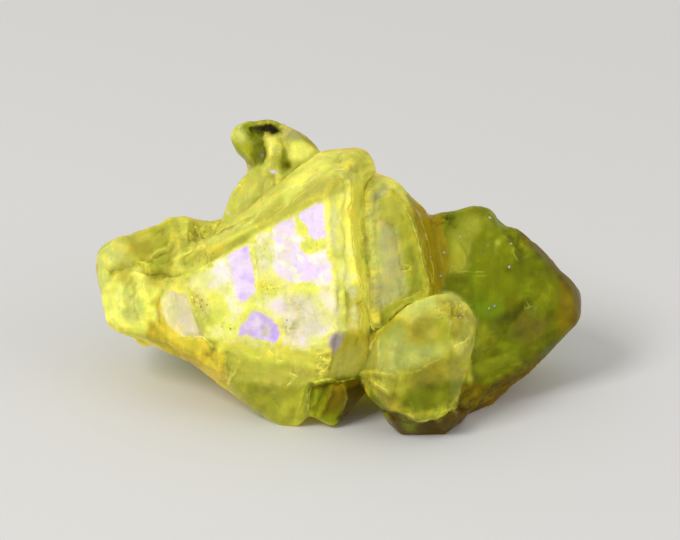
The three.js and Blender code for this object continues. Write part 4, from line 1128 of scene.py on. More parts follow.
class Surface:
    """The cluster's points while they are shaped: their places, neighbours and sight lines."""

    def __init__(self, mesh, faces, seed):
        self.mesh = mesh
        self.seed = seed
        self.ends = edge_ends(mesh)
        self.places = coordinates(mesh)
        self.normals = one_long(self.smooth(directions(mesh), 2))
        self.layout = to_layout(self.places)
        self.pixels = on_picture(self.layout)
        self.seen, self.facing = seen_from_front(self.places, self.normals, faces)
        self.front = self.smooth(self.seen * fade(self.facing, *FRONT_TURN), 2)
        self.resting = fade(self.places[:, 2], *REST_ZONE)

    def smooth(self, values, rounds):
        """Values averaged over their neighbours, round after round."""
        return averaged(values, self.ends, rounds)

    def noise(self, size, step, layers=3):
        """Rough noise whose waves are about size millimetres wide."""
        return rough_noise(self.layout, size, self.seed + step, layers)

    def patches(self, size, step, low, high, layers=3):
        """Patches of 0 to 1, which set in where a noise passes from low to high."""
        return fade(self.noise(size, step, layers), low, high)

    def wobble(self, size, steps, reach):
        """Random shifts of up to about reach pixels, so that no outline is drawn straight."""
        return np.stack([self.noise(size, step) for step in steps], 1) * reach

    def proud(self, rounds):
        """How far each point stands out of its surroundings, in millimetres."""
        return ((self.places - self.smooth(self.places, rounds)) * self.normals).sum(1) / MM

    def zone(self, outlines, width):
        """1 on the front inside any of the outlines, fading over width pixels."""
        return zone(self.pixels, outlines, width) * self.front


def seam_fields(surface):
    """For each point: signed pixels to the nearest seam, plain pixels to it, and its strength
    (above zero where it is light, below where it is dark)."""
    at = surface.pixels + surface.wobble(*SEAM_WOBBLE)
    signed = np.full(len(at), NO_SEAM)
    plain = np.full(len(at), NO_SEAM)
    strength = np.zeros(len(at))
    for sign, seams in ((1.0, LIGHT_SEAMS), (-1.0, DARK_SEAMS)):
        for weight, line in seams.values():
            corners = np.asarray(line, float)
            count = len(corners) - 1
            for k in range(count):
                distance, side, share = distance_to_piece(at, corners[k], corners[k + 1])
                along = (k + share) / count
                inwards = SEAM_GROWTH * np.minimum(along, 1.0 - along)
                taper = weight * np.minimum(1.0, inwards + SEAM_END)
                closer = distance < plain
                signed = np.where(closer, distance * side, signed)
                strength = np.where(closer, sign * taper, strength)
                plain = np.where(closer, distance, plain)
    return signed, plain, strength


def streak_field(pixels, seed):
    """Growth streaks of each face, about zero."""
    out = np.zeros(len(pixels))
    for k, (outline, way, length, width, strength) in enumerate(STREAKS.values()):
        run = np.array(way, float) / np.hypot(*way)
        along = pixels @ run / length
        across = (pixels[:, 1] * run[0] - pixels[:, 0] * run[1]) / width
        flat_noise = np.stack([along, across, np.full(len(pixels), k * STREAKS_APART)], 1)
        share = fade(inside(pixels, outline), -STREAK_BORDER, STREAK_BORDER)
        out += strength * share * rough_noise(flat_noise, 1.0, seed + k, 3, STREAK_GAIN)
    return out


def area_fields(surface, colours):
    """Each point's colour and roughness from the areas it lies in."""
    at = surface.pixels + surface.wobble(*AREA_WOBBLE)
    tint = np.tile(np.array(colours.olive), (len(at), 1))
    rough = np.full(len(at), PLAIN_ROUGHNESS)
    for outline, colour, bright, width, skin in AREAS.values():
        share = fade(inside(at, outline), -width / 2, width / 2)[:, None]
        light = np.array(getattr(colours, colour)) * bright**SCREEN_POWER
        tint = tint * (1 - share) + light * share
        rough = rough * (1 - share[:, 0]) + skin * share[:, 0]
    for dabs in DABS.values():
        for x, y, width, gain in dabs:
            tint *= 1 + gain * np.exp(-((at - (x, y)) ** 2).sum(1) / width**2)[:, None]
    return tint, rough


def mirror_fields(surface):
    """Signed pixels into the glassy patches, how violet they are, how far they cover, and how
    ragged they are."""
    pixels = surface.pixels
    wobble = surface.wobble(*MIRROR_WOBBLE)
    best = np.full(len(pixels), NO_MIRROR)
    kept = np.tile((0.0, 1.0, 0.0), (len(pixels), 1))
    for outline, violet, cover, ragged in MIRRORS.values():
        depth = inside(pixels + wobble * (MIRROR_CLEANEST + ragged), outline)
        rank = np.minimum(depth, MIRROR_DEEP) * (MIRROR_BAREST + cover)
        more = rank > np.minimum(best, MIRROR_DEEP) * (MIRROR_BAREST + kept[:, 1])
        kept[more] = (violet, cover, ragged)
        best = np.where(more, depth, best)
    for outline in SKINS.values():
        best = np.minimum(best, -inside(pixels + wobble, outline))
    return best, kept[:, 0], kept[:, 1], kept[:, 2]


def fold_field(pixels):
    """Height of the soft folds, in millimetres."""
    out = np.zeros(len(pixels))
    for width, height, line in FOLDS.values():
        corners = np.asarray(line, float)
        nearest = np.full(len(pixels), np.inf)
        for a, b in zip(corners, corners[1:]):
            nearest = np.minimum(nearest, distance_to_piece(pixels, a, b)[0])
        fall = np.sqrt((nearest / width) ** 2 + FOLD_ROUND**2)
        out += height * np.clip(1 + FOLD_ROUND - fall, 0, 1)
    return out


def swollen(surface):
    """How far the swellings move each point, in metres."""
    out = np.zeros(surface.layout.shape)
    for at, radius, shift in SWELLS.values():
        near = (np.hypot(*(surface.pixels - at).T) < SWELL_START) & (surface.seen > 0.5)
        away = np.linalg.norm(surface.layout - surface.layout[near].mean(0), axis=1)
        share = fade(away, radius, SWELL_WHOLE * radius)
        out += np.outer(share, frame_direction(shift)) * np.linalg.norm(shift) * MM
    return out


# ---------------------------------------------------------------- shaping the cluster

# How far edges are rounded off where no outline says more: in front, and on the back, which
# begins where a point faces this far away.
FRONT_ROUNDING = 0.1
BACK_ROUNDING = 0.6
BACK_TURN = -0.4
# The rounding turns from slight to strong between these, and moves the skin in full from one
# over this number up.
ROUNDING_RANGE = (0.1, 0.9)
ROUNDING_GAIN = 2.5
# Rounds of smoothing: the rounding's own borders, slight and strong rounding, the level that
# gleams are measured from, and the surroundings of worn edges, thin edges and hollows.
SPREAD_ROUNDS = 12
SLIGHT_ROUNDS = 6
STRONG_ROUNDS = 40
LEVEL_ROUNDS = 30
WORN_ROUNDS = 8
EDGE_ROUNDS = 5
HOLLOW_ROUNDS = 40
# How far an edge or hollow stands out or in where its look is whole, in millimetres.
WORN_WHOLE = 0.08
EDGE_WHOLE = 0.05
HOLLOW_WHOLE = 0.3
# What a worn edge loses, in millimetres, the share of it lost where the skin is smooth, and how
# much of the streaks is relief.
WORN_DEPTH = 0.07
WORN_SMOOTH = 0.4
STREAK_RELIEF = 0.2
# Sizes of the waves and the terraces, in millimetres, and the width and depth of the smaller
# chips as shares of the larger.
WAVE_SIZE = 2.4
TERRACE_SIZE = 3.2
SMALL_CHIPS = (0.45, 0.5)
# Terraces show as the skin's roughness passes these, and broken skin loses this share of them.
TERRACED_SKIN = (0.38, 0.6)
TERRACE_LOSS = 0.5
# The step beside a seam: pixels to its full height, its reach, and half the width of a crack.
SEAM_RISE = 1.4
SEAM_REACH = 9.0
CRACK_WIDTH = 1.6
# The back: heights in the layout between which its colour turns, how far it is stained, how
# broken and how grimy it is.
BACK_FADE = (-6.0, 4.0)
BACK_STAIN = 0.3
BACK_BROKEN = (0.06, 0.24)
BACK_GRIME = 0.3
# Patches: the size of their waves in millimetres, their seed, where they set in and their layers.
BACK_PATCHES = (4.0, 41, -0.25, 0.35, 3)
STAINED_PATCHES = (3.0, 61, 0.05, 0.6, 4)
WORN_PATCHES = (0.9, 59, 0.0, 0.5, 3)
TURNED_PATCHES = (2.0, 83, -0.4, 0.3, 3)
# Faces that turn aside are painted orange-brown as shade of the glow: how squarely a face looks
# ahead where that begins and where it is whole, the least of it, and how much of it pale edges
# lose.
TURNED_RANGE = (0.5, 0.12)
TURNED_LEAST = 0.3
TURNED_LOSS = 0.9
# Outlines of the zones fade over these many pixels on either side.
ZONE_BORDER = 3
ETCHED_BORDER = 4
DUSTY_BORDER = 5
# The strongest gleam or shade, how rough broken skin is at least, and how thick the crumbs lie
# on pitted and on broken skin.
GLEAM_LIMIT = 0.5
BROKEN_ROUGHNESS = 0.7
PITTED_CRUMBS = 0.5
BROKEN_CRUMBS = 0.35
# How squarely a seen point has to face the eye for its colour to count.
COLOUR_FACING = 0.1
# Colour is carried to the unseen skin from about this many seen points, six at a time, and gives
# way to the backing between these distances, in metres.
CARRY_POINTS = 6000
CARRY_NEIGHBOURS = 6
CARRY_SOFTENING = 2e-4
CARRY_FULL = 0.001
CARRY_FADE = 0.005


def carried_over(places, values, seen, backing):
    """Unseen points take the colour of the seen points nearest to them, giving way to the
    backing further off."""
    known = np.nonzero(seen > 0.5)[0]
    pick = known[:: max(1, len(known) // CARRY_POINTS)]
    tree = KDTree(len(pick))
    for k, i in enumerate(pick):
        tree.insert(Vector(places[i]), k)
    tree.balance()
    out = values.copy()
    for i in np.nonzero(seen < 0.5)[0]:
        found = tree.find_n(Vector(places[i]), CARRY_NEIGHBOURS)
        near = np.array([f[2] for f in found])
        weight = 1 / (near + CARRY_SOFTENING) ** 2
        mean = (values[pick[[f[1] for f in found]]] * weight[:, None]).sum(0) / weight.sum()
        share = min(1.0, max(0.0, (near[0] - CARRY_FULL) / CARRY_FADE))
        out[i] = mean * (1 - share) + backing[i] * share
    return out


def round_off(surface):
    """Rounds edges and corners, and swells what has grown fuller than the plain solid."""
    rounding = np.full(len(surface.places), FRONT_ROUNDING)
    for outline, share in ROUNDED.values():
        near = fade(inside(surface.pixels, outline), -ROUNDED_BORDER, ROUNDED_BORDER)
        rounding = np.maximum(rounding, share * near)
    rounding = np.where(surface.facing > BACK_TURN, rounding, BACK_ROUNDING)
    rounding = surface.smooth(rounding, SPREAD_ROUNDS)
    slight = surface.smooth(surface.places, SLIGHT_ROUNDS)
    strong = surface.smooth(slight, STRONG_ROUNDS)
    target = slight + (strong - slight) * fade(rounding, *ROUNDING_RANGE)[:, None]
    share = np.clip(rounding * ROUNDING_GAIN, 0, 1) * surface.resting
    surface.places += (target - surface.places) * share[:, None]
    surface.places += swollen(surface) * surface.resting[:, None]


def relief(surface, sizes, rough, broken, seams, streaks, wobble):
    """How far each point's skin stands off the plain solid, in millimetres."""
    front = surface.front
    signed, plain, strength = seams
    seam_depth = sizes.seam_depth / MM
    height = sizes.growth / MM + sizes.waviness / MM * surface.noise(WAVE_SIZE, 0)
    for width, depth, step in ((1.0, 1.0, 3), (*SMALL_CHIPS, 4)):
        chips = shell_chips(surface.layout, width * sizes.chip_size / MM, surface.seed + step)
        height += depth * sizes.chip_depth / MM * broken * chips
    level = terraces(surface.layout, TERRACE_SIZE, surface.seed + 5) - TERRACE_SWING
    stepped = np.maximum(1 - front, fade(rough, *TERRACED_SKIN)) * (1 - TERRACE_LOSS * broken)
    height += sizes.terrace_height / MM * level * stepped
    border = sizes.step_fade / MM * PIXELS_PER_MM
    for outline, rise in STEPS.values():
        height += front * rise * fade(inside(surface.pixels + wobble, outline), -border, border)
    step_side = np.clip(signed / SEAM_RISE, -1, 1) * np.exp(-((plain / SEAM_REACH) ** 2))
    height += front * np.abs(strength) * seam_depth * step_side
    crack = np.exp(-((plain / CRACK_WIDTH) ** 2))
    height += front * np.minimum(strength, 0.0) * seam_depth * crack
    height += STREAK_RELIEF * streaks
    return height + front * fold_field(surface.pixels + wobble)


def backing_colours(surface, colours):
    """The colours of the back, paler higher up and stained in places."""
    high = fade(surface.layout[:, 2], *BACK_FADE)[:, None]
    backing = np.array(colours.leaf) * (1 - high) + np.array(colours.straw) * high
    stained = surface.patches(*STAINED_PATCHES)[:, None] * BACK_STAIN
    return backing * (1 - stained) + np.array(colours.stain) * stained


def shape_cluster(mesh, faces, sizes, colours):
    """Gives the even mesh its growth relief and keeps the fields that its finish reads."""
    surface = Surface(mesh, faces, sizes.seed)
    front, resting = surface.front, surface.resting
    round_off(surface)

    edge = surface.proud(WORN_ROUNDS)
    tint, rough = area_fields(surface, colours)
    patchy = surface.patches(*BACK_PATCHES)
    least, most = BACK_BROKEN
    broken = np.maximum(surface.zone(BROKEN, ZONE_BORDER), (1 - front) * (least + most * patchy))
    seams = seam_fields(surface)
    wobble = surface.wobble(*RELIEF_WOBBLE)
    streaks = streak_field(surface.pixels, sizes.seed + 71) * front
    height = relief(surface, sizes, rough, broken, seams, streaks, wobble)
    worn = np.clip(edge / WORN_WHOLE, 0, 1) * surface.patches(*WORN_PATCHES)
    height -= WORN_DEPTH * worn * (WORN_SMOOTH + rough)
    surface.places += surface.normals * (height * resting * MM)[:, None]
    surface.places[:, 2] = np.maximum(surface.places[:, 2], 0.0)
    set_coordinates(mesh, surface.places)

    surface.normals = surface.smooth(directions(mesh), 1)
    # Painted light and shade: the gleam lightens relief turned to the lamp side and darkens relief
    # turned away; turned marks the side faces for the painted orange shade.
    level = one_long(surface.smooth(surface.normals, LEVEL_ROUNDS))
    towards_lamp = (surface.normals - level) @ frame_direction(LAMP_SIDE)
    turned = fade(np.abs(layout_direction(level)[:, 1]), *TURNED_RANGE)
    turned *= 1 - TURNED_LOSS * zone(surface.pixels, PALE_EDGES, ZONE_BORDER)
    uneven = surface.patches(*TURNED_PATCHES)

    tint = tint * (1 + streaks)[:, None]
    seen = surface.seen * (surface.facing > COLOUR_FACING)
    tint = carried_over(surface.places, tint, seen, backing_colours(surface, colours))

    depth, violet, cover, ragged = mirror_fields(surface)
    pits = surface.zone(PITTED, ZONE_BORDER)
    fields = {
        "tint": surface.smooth(tint, 1),
        "skin_roughness": surface.smooth(np.maximum(rough, BROKEN_ROUGHNESS * broken), 2),
        "gleam": 1 + sizes.gleam * np.clip(towards_lamp, -GLEAM_LIMIT, GLEAM_LIMIT),
        "turned": turned * (TURNED_LEAST + (1 - TURNED_LEAST) * uneven),
        "edge": np.clip(surface.proud(EDGE_ROUNDS) / EDGE_WHOLE, -1, 1),
        "hollow": np.clip(surface.proud(HOLLOW_ROUNDS) / HOLLOW_WHOLE, -1, 1),
        "seam_side": seams[0],
        "seam_far": seams[1],
        "seam_strength": seams[2] * front,
        "mirror_depth": np.where(front > 0.5, depth, NO_MIRROR),
        "mirror_violet": surface.smooth(violet, 2),
        "mirror_cover": surface.smooth(cover * (front > 0.5), 1),
        "mirror_ragged": surface.smooth(ragged, 2),
        "pits": np.maximum(pits, (1 - front) * patchy * BACK_GRIME),
        "etched": zone(surface.pixels + wobble, ETCHED, ETCHED_BORDER) * front,
        "dusty": surface.zone(DUSTY, DUSTY_BORDER),
        "grainy": np.maximum(pits * PITTED_CRUMBS, broken * BROKEN_CRUMBS).clip(0, 1),
    }
    for name, values in fields.items():
        store(mesh, name, values)


# ---------------------------------------------------------------- finishes


class Wires:
    """Short calls for building a node tree."""

    def __init__(self, tree):
        self.tree = tree
        tree.nodes.clear()

    def add(self, kind, inputs=None, **settings):
        """A new node; each input is a socket to link or a value to set."""
        node = self.tree.nodes.new(kind)
        for name, value in settings.items():
            setattr(node, name, value)
        for key, value in (inputs or {}).items():
            if isinstance(value, bpy.types.NodeSocket):
                self.tree.links.new(value, node.inputs[key])
            else:
                node.inputs[key].default_value = value
        return node

    def math(self, operation, a, b=0.0, clamp=False):
        """A sum of two numbers; clamp keeps it between 0 and 1."""
        return self.add("ShaderNodeMath", {0: a, 1: b}, operation=operation,
                        use_clamp=clamp).outputs[0]

    def product(self, *values):
        """All the values multiplied together."""
        out = values[0]
        for value in values[1:]:
            out = self.math("MULTIPLY", out, value)
        return out

    def centred(self, value):
        """A noise brought to swing about zero."""
        return self.math("SUBTRACT", value, 0.5)

    def vector(self, operation, a, b):
        """A sum of two vectors."""
        return self.add("ShaderNodeVectorMath", {0: a, 1: b}, operation=operation).outputs[0]

    def stretched(self, vector, factor):
        """A vector made longer or shorter."""
        inputs = {0: vector, "Scale": factor}
        return self.add("ShaderNodeVectorMath", inputs, operation="SCALE").outputs[0]

    def blend(self, share, a, b, kind="MIX"):
        """Colour a, turning to colour b by the share."""
        return self.add("ShaderNodeMix", {0: share, 6: a, 7: b}, data_type="RGBA",
                        blend_type=kind).outputs[2]

    def tinted(self, colour, by):
        """The colour multiplied by another."""
        return self.blend(1.0, colour, by, "MULTIPLY")

    def scaled(self, colour, share, by):
        """The colour multiplied, to the share given."""
        return self.blend(share, colour, self.tinted(colour, by))

    def grey(self, value):
        """A number as a colour."""
        return self.add("ShaderNodeCombineColor", {0: value, 1: value, 2: value}).outputs[0]

    def between(self, value, low, high, to_low=0.0, to_high=1.0):
        """A value that goes smoothly from to_low to to_high between two limits."""
        inputs = {"Value": value, "From Min": low, "From Max": high, "To Min": to_low,
                  "To Max": to_high}
        return self.add("ShaderNodeMapRange", inputs,
                        interpolation_type="SMOOTHSTEP").outputs["Result"]

    def noise(self, place, scale, detail=3.0, roughness=0.5, distortion=0.0):
        """Noise of 0 to 1; scale is in waves to the unit of place."""
        inputs = {"Vector": place, "Scale": scale, "Detail": detail, "Roughness": roughness,
                  "Distortion": distortion}
        return self.add("ShaderNodeTexNoise", inputs).outputs["Fac"]

    def cells(self, place, scale):
        """Distance to the nearest of scattered points."""
        inputs = {"Vector": place, "Scale": scale, "Randomness": 1.0}
        return self.add("ShaderNodeTexVoronoi", inputs).outputs["Distance"]

    def random(self, kind, low, high, seed):
        """A random number or vector for each point; low and high are its limits."""
        first = {"FLOAT_VECTOR": 0, "FLOAT": 2}[kind]
        inputs = {first: low, first + 1: high, "Seed": seed}
        return self.add("FunctionNodeRandomValue", inputs, data_type=kind).outputs[first // 2]

    def number(self, name):
        """A number that the mesh keeps for each point."""
        return self.add("ShaderNodeAttribute", attribute_name=name).outputs["Fac"]

    def colour(self, name):
        """A colour that the mesh keeps for each point."""
        return self.add("ShaderNodeAttribute", attribute_name=name).outputs["Color"]

    def millimetres(self):
        """The place on the object, in millimetres."""
        return self.stretched(self.add("ShaderNodeTexCoord").outputs["Object"], 1 / MM)


def full(colour):
    """A colour with full alpha."""
    return (*colour, 1.0)


def add_sockets(tree, way, **kinds):
    """Gives a node group its inputs or outputs."""
    for name, kind in kinds.items():
        tree.interface.new_socket(name, in_out=way, socket_type="NodeSocket" + kind)


def new_finish(name):
    """An empty material and its wires."""
    material = bpy.data.materials.new(name)
    material.use_nodes = True
    return material, Wires(material.node_tree)


def mineral_skin():
    """Shader group: mottling, veils, fine relief and grain of cerussite, given a tint, with painted
    relief shading and painted glints.
    """
    group = bpy.data.node_groups.new("Mineral skin", "ShaderNodeTree")
    add_sockets(group, "INPUT", Place="Vector", Tint="Color", Mottle="Float", Relief="Float",
                Grain="Float")
    add_sockets(group, "OUTPUT", Colour="Color", Height="Float")
    w = Wires(group)
    given = w.add("NodeGroupInput").outputs
    place = given["Place"]
    broad = w.noise(place, 0.32, 3.0, 0.5)
    middle = w.noise(place, 0.8, 4.0, 0.5, 0.6)
    fine = w.noise(place, 5.5, 4.0, 0.6)
    swing = w.product(w.centred(middle), 1.5)
    swing = w.math("ADD", swing, w.product(w.centred(broad), 0.6))
    swing = w.product(swing, given["Mottle"])
    flecks = w.product(w.centred(fine), 1.5, given["Grain"])

    # Small crags with painted relief shading: brighter on the lamp side, darker on the other.
    shifted = w.vector("ADD", place, tuple(frame_direction(LAMP_SIDE) * CRAG_SHIFT))
    crags, lit_crags = (w.noise(at, 1.3, 4.0, 0.5, 0.3) for at in (place, shifted))
    slope = w.product(w.math("SUBTRACT", crags, lit_crags), w.product(given["Relief"], 5.0))
    slope = w.math("MINIMUM", w.math("MAXIMUM", slope, -0.5), 0.7)

    light = w.math("ADD", w.math("ADD", 1.0, swing), w.math("ADD", flecks, slope))
    light = w.math("MAXIMUM", light, 0.3)
    shaded = w.tinted(given["Tint"], w.grey(light))
    ochre = w.tinted(shaded, (1.04, 0.95, 0.66, 1.0))
    lime = w.tinted(shaded, (0.93, 1.0, 0.8, 1.0))
    hue = w.noise(place, 0.6, 4.0, 0.6)
    warm = w.blend(w.between(middle, 0.4, 0.7), shaded, ochre)
    toned = w.blend(w.between(hue, 0.35, 0.65), lime, warm)

    # Milky veils inside, and hair cracks and tiny cracks that flash: painted glints.
    inputs = {"Vector": place, "Rotation": (0.5, 0.25, 0.4), "Scale": (1.6, 1.0, 0.3)}
    drawn = w.add("ShaderNodeMapping", inputs).outputs[0]
    veil = w.between(w.noise(drawn, 0.8, 4.0, 0.6, 1.2), 0.54, 0.74)
    milky = w.tinted(shaded, (1.14, 1.15, 1.7, 1.0))
    veiled = w.blend(w.product(veil, 0.55), toned, milky)
    vein = w.math("ABSOLUTE", w.centred(w.noise(drawn, 0.55, 5.0, 0.55, 0.8)))
    cracked = w.between(w.noise(place, 0.5, 3.0), 0.5, 0.62)
    hair = w.product(w.between(vein, 0.012, 0.002), cracked)
    glint = w.product(w.between(w.cells(drawn, 1.5), 0.13, 0.06), w.between(broad, 0.5, 0.62))
    flash = w.tinted(shaded, (1.5, 1.5, 1.9, 1.0))
    flashing = w.math("MAXIMUM", w.product(glint, 0.7), w.product(hair, 0.4))
    height = w.product(fine, w.product(given["Grain"], 0.4))
    height = w.math("ADD", height, w.product(crags, 0.8))
    w.add("NodeGroupOutput", {"Colour": w.blend(flashing, veiled, flash), "Height": height})
    return group


def glowing_stone(w, colour, gleam, roughness, relief):
    """Half lit stone and half painted glow standing in for fluorescence, which the gleam brightens
    and darkens.
    """
    bump = w.add("ShaderNodeBump", {"Strength": 0.6, "Distance": 0.00012, "Height": relief})
    inputs = {
        "Base Color": w.tinted(colour, (0.62, 0.62, 0.62, 1.0)), "Roughness": roughness,
        "Normal": bump.outputs[0], "IOR": 1.8, "Specular IOR Level": 0.07,
        "Specular Tint": (1.0, 0.93, 0.45, 1.0), "Subsurface Weight": 0.6,
        "Subsurface Scale": 0.0012, "Subsurface Radius": (1.0, 0.85, 0.25),
        "Emission Color": w.tinted(colour, w.grey(gleam)), "Emission Strength": 0.42,
    }
    shader = w.add("ShaderNodeBsdfPrincipled", inputs)
    w.add("ShaderNodeOutputMaterial", {"Surface": shader.outputs[0]})


def cerussite_finish(skin_group, colours):
    """The cluster's own material."""
    material, w = new_finish("Fluorescent cerussite")
    place = w.millimetres()
    rough = w.number("skin_roughness")
    etched = w.number("etched")
    inputs = {"Place": place, "Tint": w.colour("tint"),
              "Mottle": w.between(rough, 0.1, 0.7, 0.38, 0.62),
              "Relief": w.product(w.between(rough, 0.34, 0.75), 0.9),
              "Grain": w.between(w.number("grainy"), 0.0, 1.0, 0.12, 0.55)}
    skin = w.add("ShaderNodeGroup", inputs, node_tree=skin_group).outputs
    colour = skin["Colour"]

    # Painted light and shade: thin edges glow as painted highlights, grooves and hollows are darker
    # and browner as painted shade, and faces turned aside turn orange as painted shade.
    edge = w.number("edge")
    uneven = w.between(w.noise(place, 1.4, 4.0, 0.6), 0.35, 0.62)
    ridge = w.product(w.between(edge, 0.15, 0.8), uneven, 0.6)
    groove = w.product(w.between(edge, -0.15, -0.8), 0.45)
    hollow = w.product(w.between(w.number("hollow"), 0.0, -0.8), 0.4)
    turned = w.product(w.number("turned"), 0.85)
    for share, by in ((ridge, (1.45, 1.32, 1.1, 1)), (groove, (0.62, 0.55, 0.35, 1)),
                      (hollow, (0.72, 0.68, 0.5, 1)), (turned, (1.0, 0.74, 0.25, 1))):
        colour = w.scaled(colour, share, by)

    # Etched skin of the wide face: whitish clouds, ochre grain and small dark pits.
    pits = w.number("pits")
    clouds = w.between(w.noise(place, 0.7, 4.0, 0.5, 0.4), 0.44, 0.66)
    colour = w.blend(w.product(clouds, etched, 0.42), colour, full(colours.cream))
    grit = w.between(w.noise(place, 2.0, 4.0, 0.6), 0.5, 0.66)
    patches = w.between(w.noise(place, 0.5, 3.0, 0.5), 0.5, 0.66)
    grime = w.math("MAXIMUM", pits, w.product(etched, patches, 0.45))
    colour = w.scaled(colour, w.product(grit, grime, 0.7), (0.74, 0.62, 0.28, 1))
    specks = w.cells(place, 2.7)
    gathered = w.between(w.noise(place, 0.9, 3.0), 0.46, 0.56)
    pitted = w.math("MAXIMUM", pits, w.product(etched, 0.25))
    speck = w.product(w.between(specks, 0.3, 0.14), pitted, gathered)
    colour = w.scaled(colour, w.product(speck, 0.8), (0.3, 0.27, 0.18, 1))

    # Glassy patches with a painted reflection of the lamp: lavender where the skin is smooth,
    # frayed where it is etched.
    ragged = w.number("mirror_ragged")
    inward = w.number("mirror_depth")
    fray = w.product(w.centred(w.noise(place, 1.1, 3.0, 0.5, 0.3)), ragged, 24.0)
    nibble = w.product(w.centred(w.noise(place, 3.0, 3.0, 0.5)), 4.0)
    reach = w.math("ADD", inward, w.math("ADD", fray, nibble))
    soft = w.math("ADD", 1.5, w.product(ragged, 4.0))
    glass = w.between(w.math("DIVIDE", reach, soft), -0.7, 0.9)
    glass = w.product(glass, w.between(inward, -7.0, -3.0), w.number("mirror_cover"))
    thin = w.between(w.noise(place, 0.8, 4.0, 0.5), 0.36, 0.6)
    worn = w.product(ragged, w.math("SUBTRACT", 1.0, thin), 0.9)
    glass = w.product(glass, w.math("SUBTRACT", 1.0, worn))
    drift = w.product(w.centred(w.noise(place, 0.7, 4.0, 0.5, 0.5)), 1.7)
    violet = w.math("ADD", w.number("mirror_violet"), drift, True)
    pane = w.blend(w.between(violet, 0.0, 0.3), full(colours.frost), full(colours.lavender))
    pane = w.blend(w.between(violet, 0.35, 0.95), pane, full(colours.violet))
    smoke = w.product(w.between(w.noise(place, 1.8, 4.0, 0.5), 0.5, 0.72), 0.5)
    colour = w.blend(glass, colour, w.scaled(pane, smoke, (0.84, 0.8, 0.88, 1)))
    sparse = w.between(w.noise(place, 1.1, 2.0), 0.52, 0.6)
    fleck = w.product(w.between(specks, 0.13, 0.07), sparse, glass, 0.7)
    colour = w.scaled(colour, fleck, (0.45, 0.4, 0.5, 1))

    # Seams: thin broken lines of painted highlight, and dark lines: fine cracks, and painted shade
    # in creases, contacts and on the shaded side of steps.
    near = w.between(w.number("seam_far"), 3.2, 2.2)
    across = w.math("ABSOLUTE", w.number("seam_side"))
    breadth = w.between(w.noise(place, 1.3, 4.0, 0.65), 0.38, 0.66, 0.12, 1.25)
    line = w.product(w.between(w.math("DIVIDE", across, breadth), 1.4, 0.4), near)
    strength = w.number("seam_strength")
    lit, dark = (w.math("MULTIPLY", line, w.math("MAXIMUM", w.product(strength, sign), 0.0), True)
                 for sign in (1.0, -1.0))
    flash = w.blend(0.4, w.tinted(colour, (1.7, 1.65, 1.6, 1)), full(colours.bright))
    colour = w.blend(w.product(lit, 0.75), colour, flash)
    colour = w.scaled(colour, w.product(dark, 0.75), (0.5, 0.42, 0.25, 1))

    roughness = w.math("ADD", w.product(rough, 0.5), w.product(skin["Height"], 0.3))
    roughness = w.math("SUBTRACT", roughness, w.product(glass, 0.22), True)
    roughness = w.math("MAXIMUM", roughness, 0.12)
    relief = w.math("ADD", skin["Height"], w.product(grit, grime, 0.3))
    sunk = w.math("ADD", w.product(speck, 0.5), w.product(dark, 0.4))
    glowing_stone(w, colour, w.number("gleam"), roughness, w.math("SUBTRACT", relief, sunk))
    return material


def crumb_finish(skin_group):
    """The loose crumbs' material: the skin's own colours, a little brighter."""
    material, w = new_finish("Cerussite crumbs")
    place = w.millimetres()
    inputs = {"Place": place, "Tint": w.colour("tint"), "Mottle": 0.8, "Relief": 1.5,
              "Grain": 0.6}
    skin = w.add("ShaderNodeGroup", inputs, node_tree=skin_group).outputs
    pale = w.between(w.noise(place, 1.6, 2.0), 0.4, 0.6)
    colour = w.scaled(skin["Colour"], pale, (1.3, 1.26, 1.4, 1))
    # Painted glow, stronger or weaker at random.
    gleam = w.between(w.noise(place, 2.4, 2.0), 0.35, 0.65, 0.85, 1.3)
    roughness = w.between(skin["Height"], 0.2, 0.8, 0.3, 0.6)
    glowing_stone(w, colour, gleam, roughness, skin["Height"])
    return material


def dust_finish(colours):
    """Violet dust: flecks whose violet is painted lamp light on them, with an uneven painted glow.
    """
    material, w = new_finish("Violet dust")
    place = w.millimetres()
    pale = w.between(w.noise(place, 0.9, 2.0), 0.4, 0.62)
    colour = w.blend(w.product(pale, 0.5), full(colours.dust), full(colours.lavender))
    grain = w.noise(place, 6.0, 3.0)
    gleam = w.between(grain, 0.3, 0.7, 0.8, 1.25)
    glowing_stone(w, colour, gleam, w.between(grain, 0.3, 0.7, 0.45, 0.7), grain)
    return material


def floor_finish(colour):
    """The plain pale floor's material."""
    material, w = new_finish("Pale floor")
    shader = w.add("ShaderNodeBsdfPrincipled", {"Base Color": full(colour), "Roughness": 0.8})
    w.add("ShaderNodeOutputMaterial", {"Surface": shader.outputs[0]})
    return material


# ---------------------------------------------------------------- scattered bits

# Bits lie at least this high over the floor, in metres.
LOWEST_BIT = 2 * MM / 3
# How far a bit's sides may differ from its size, and how far it may lean (radians).
BIT_SIDES = (0.6, 1.4)
BIT_LEAN = 0.5


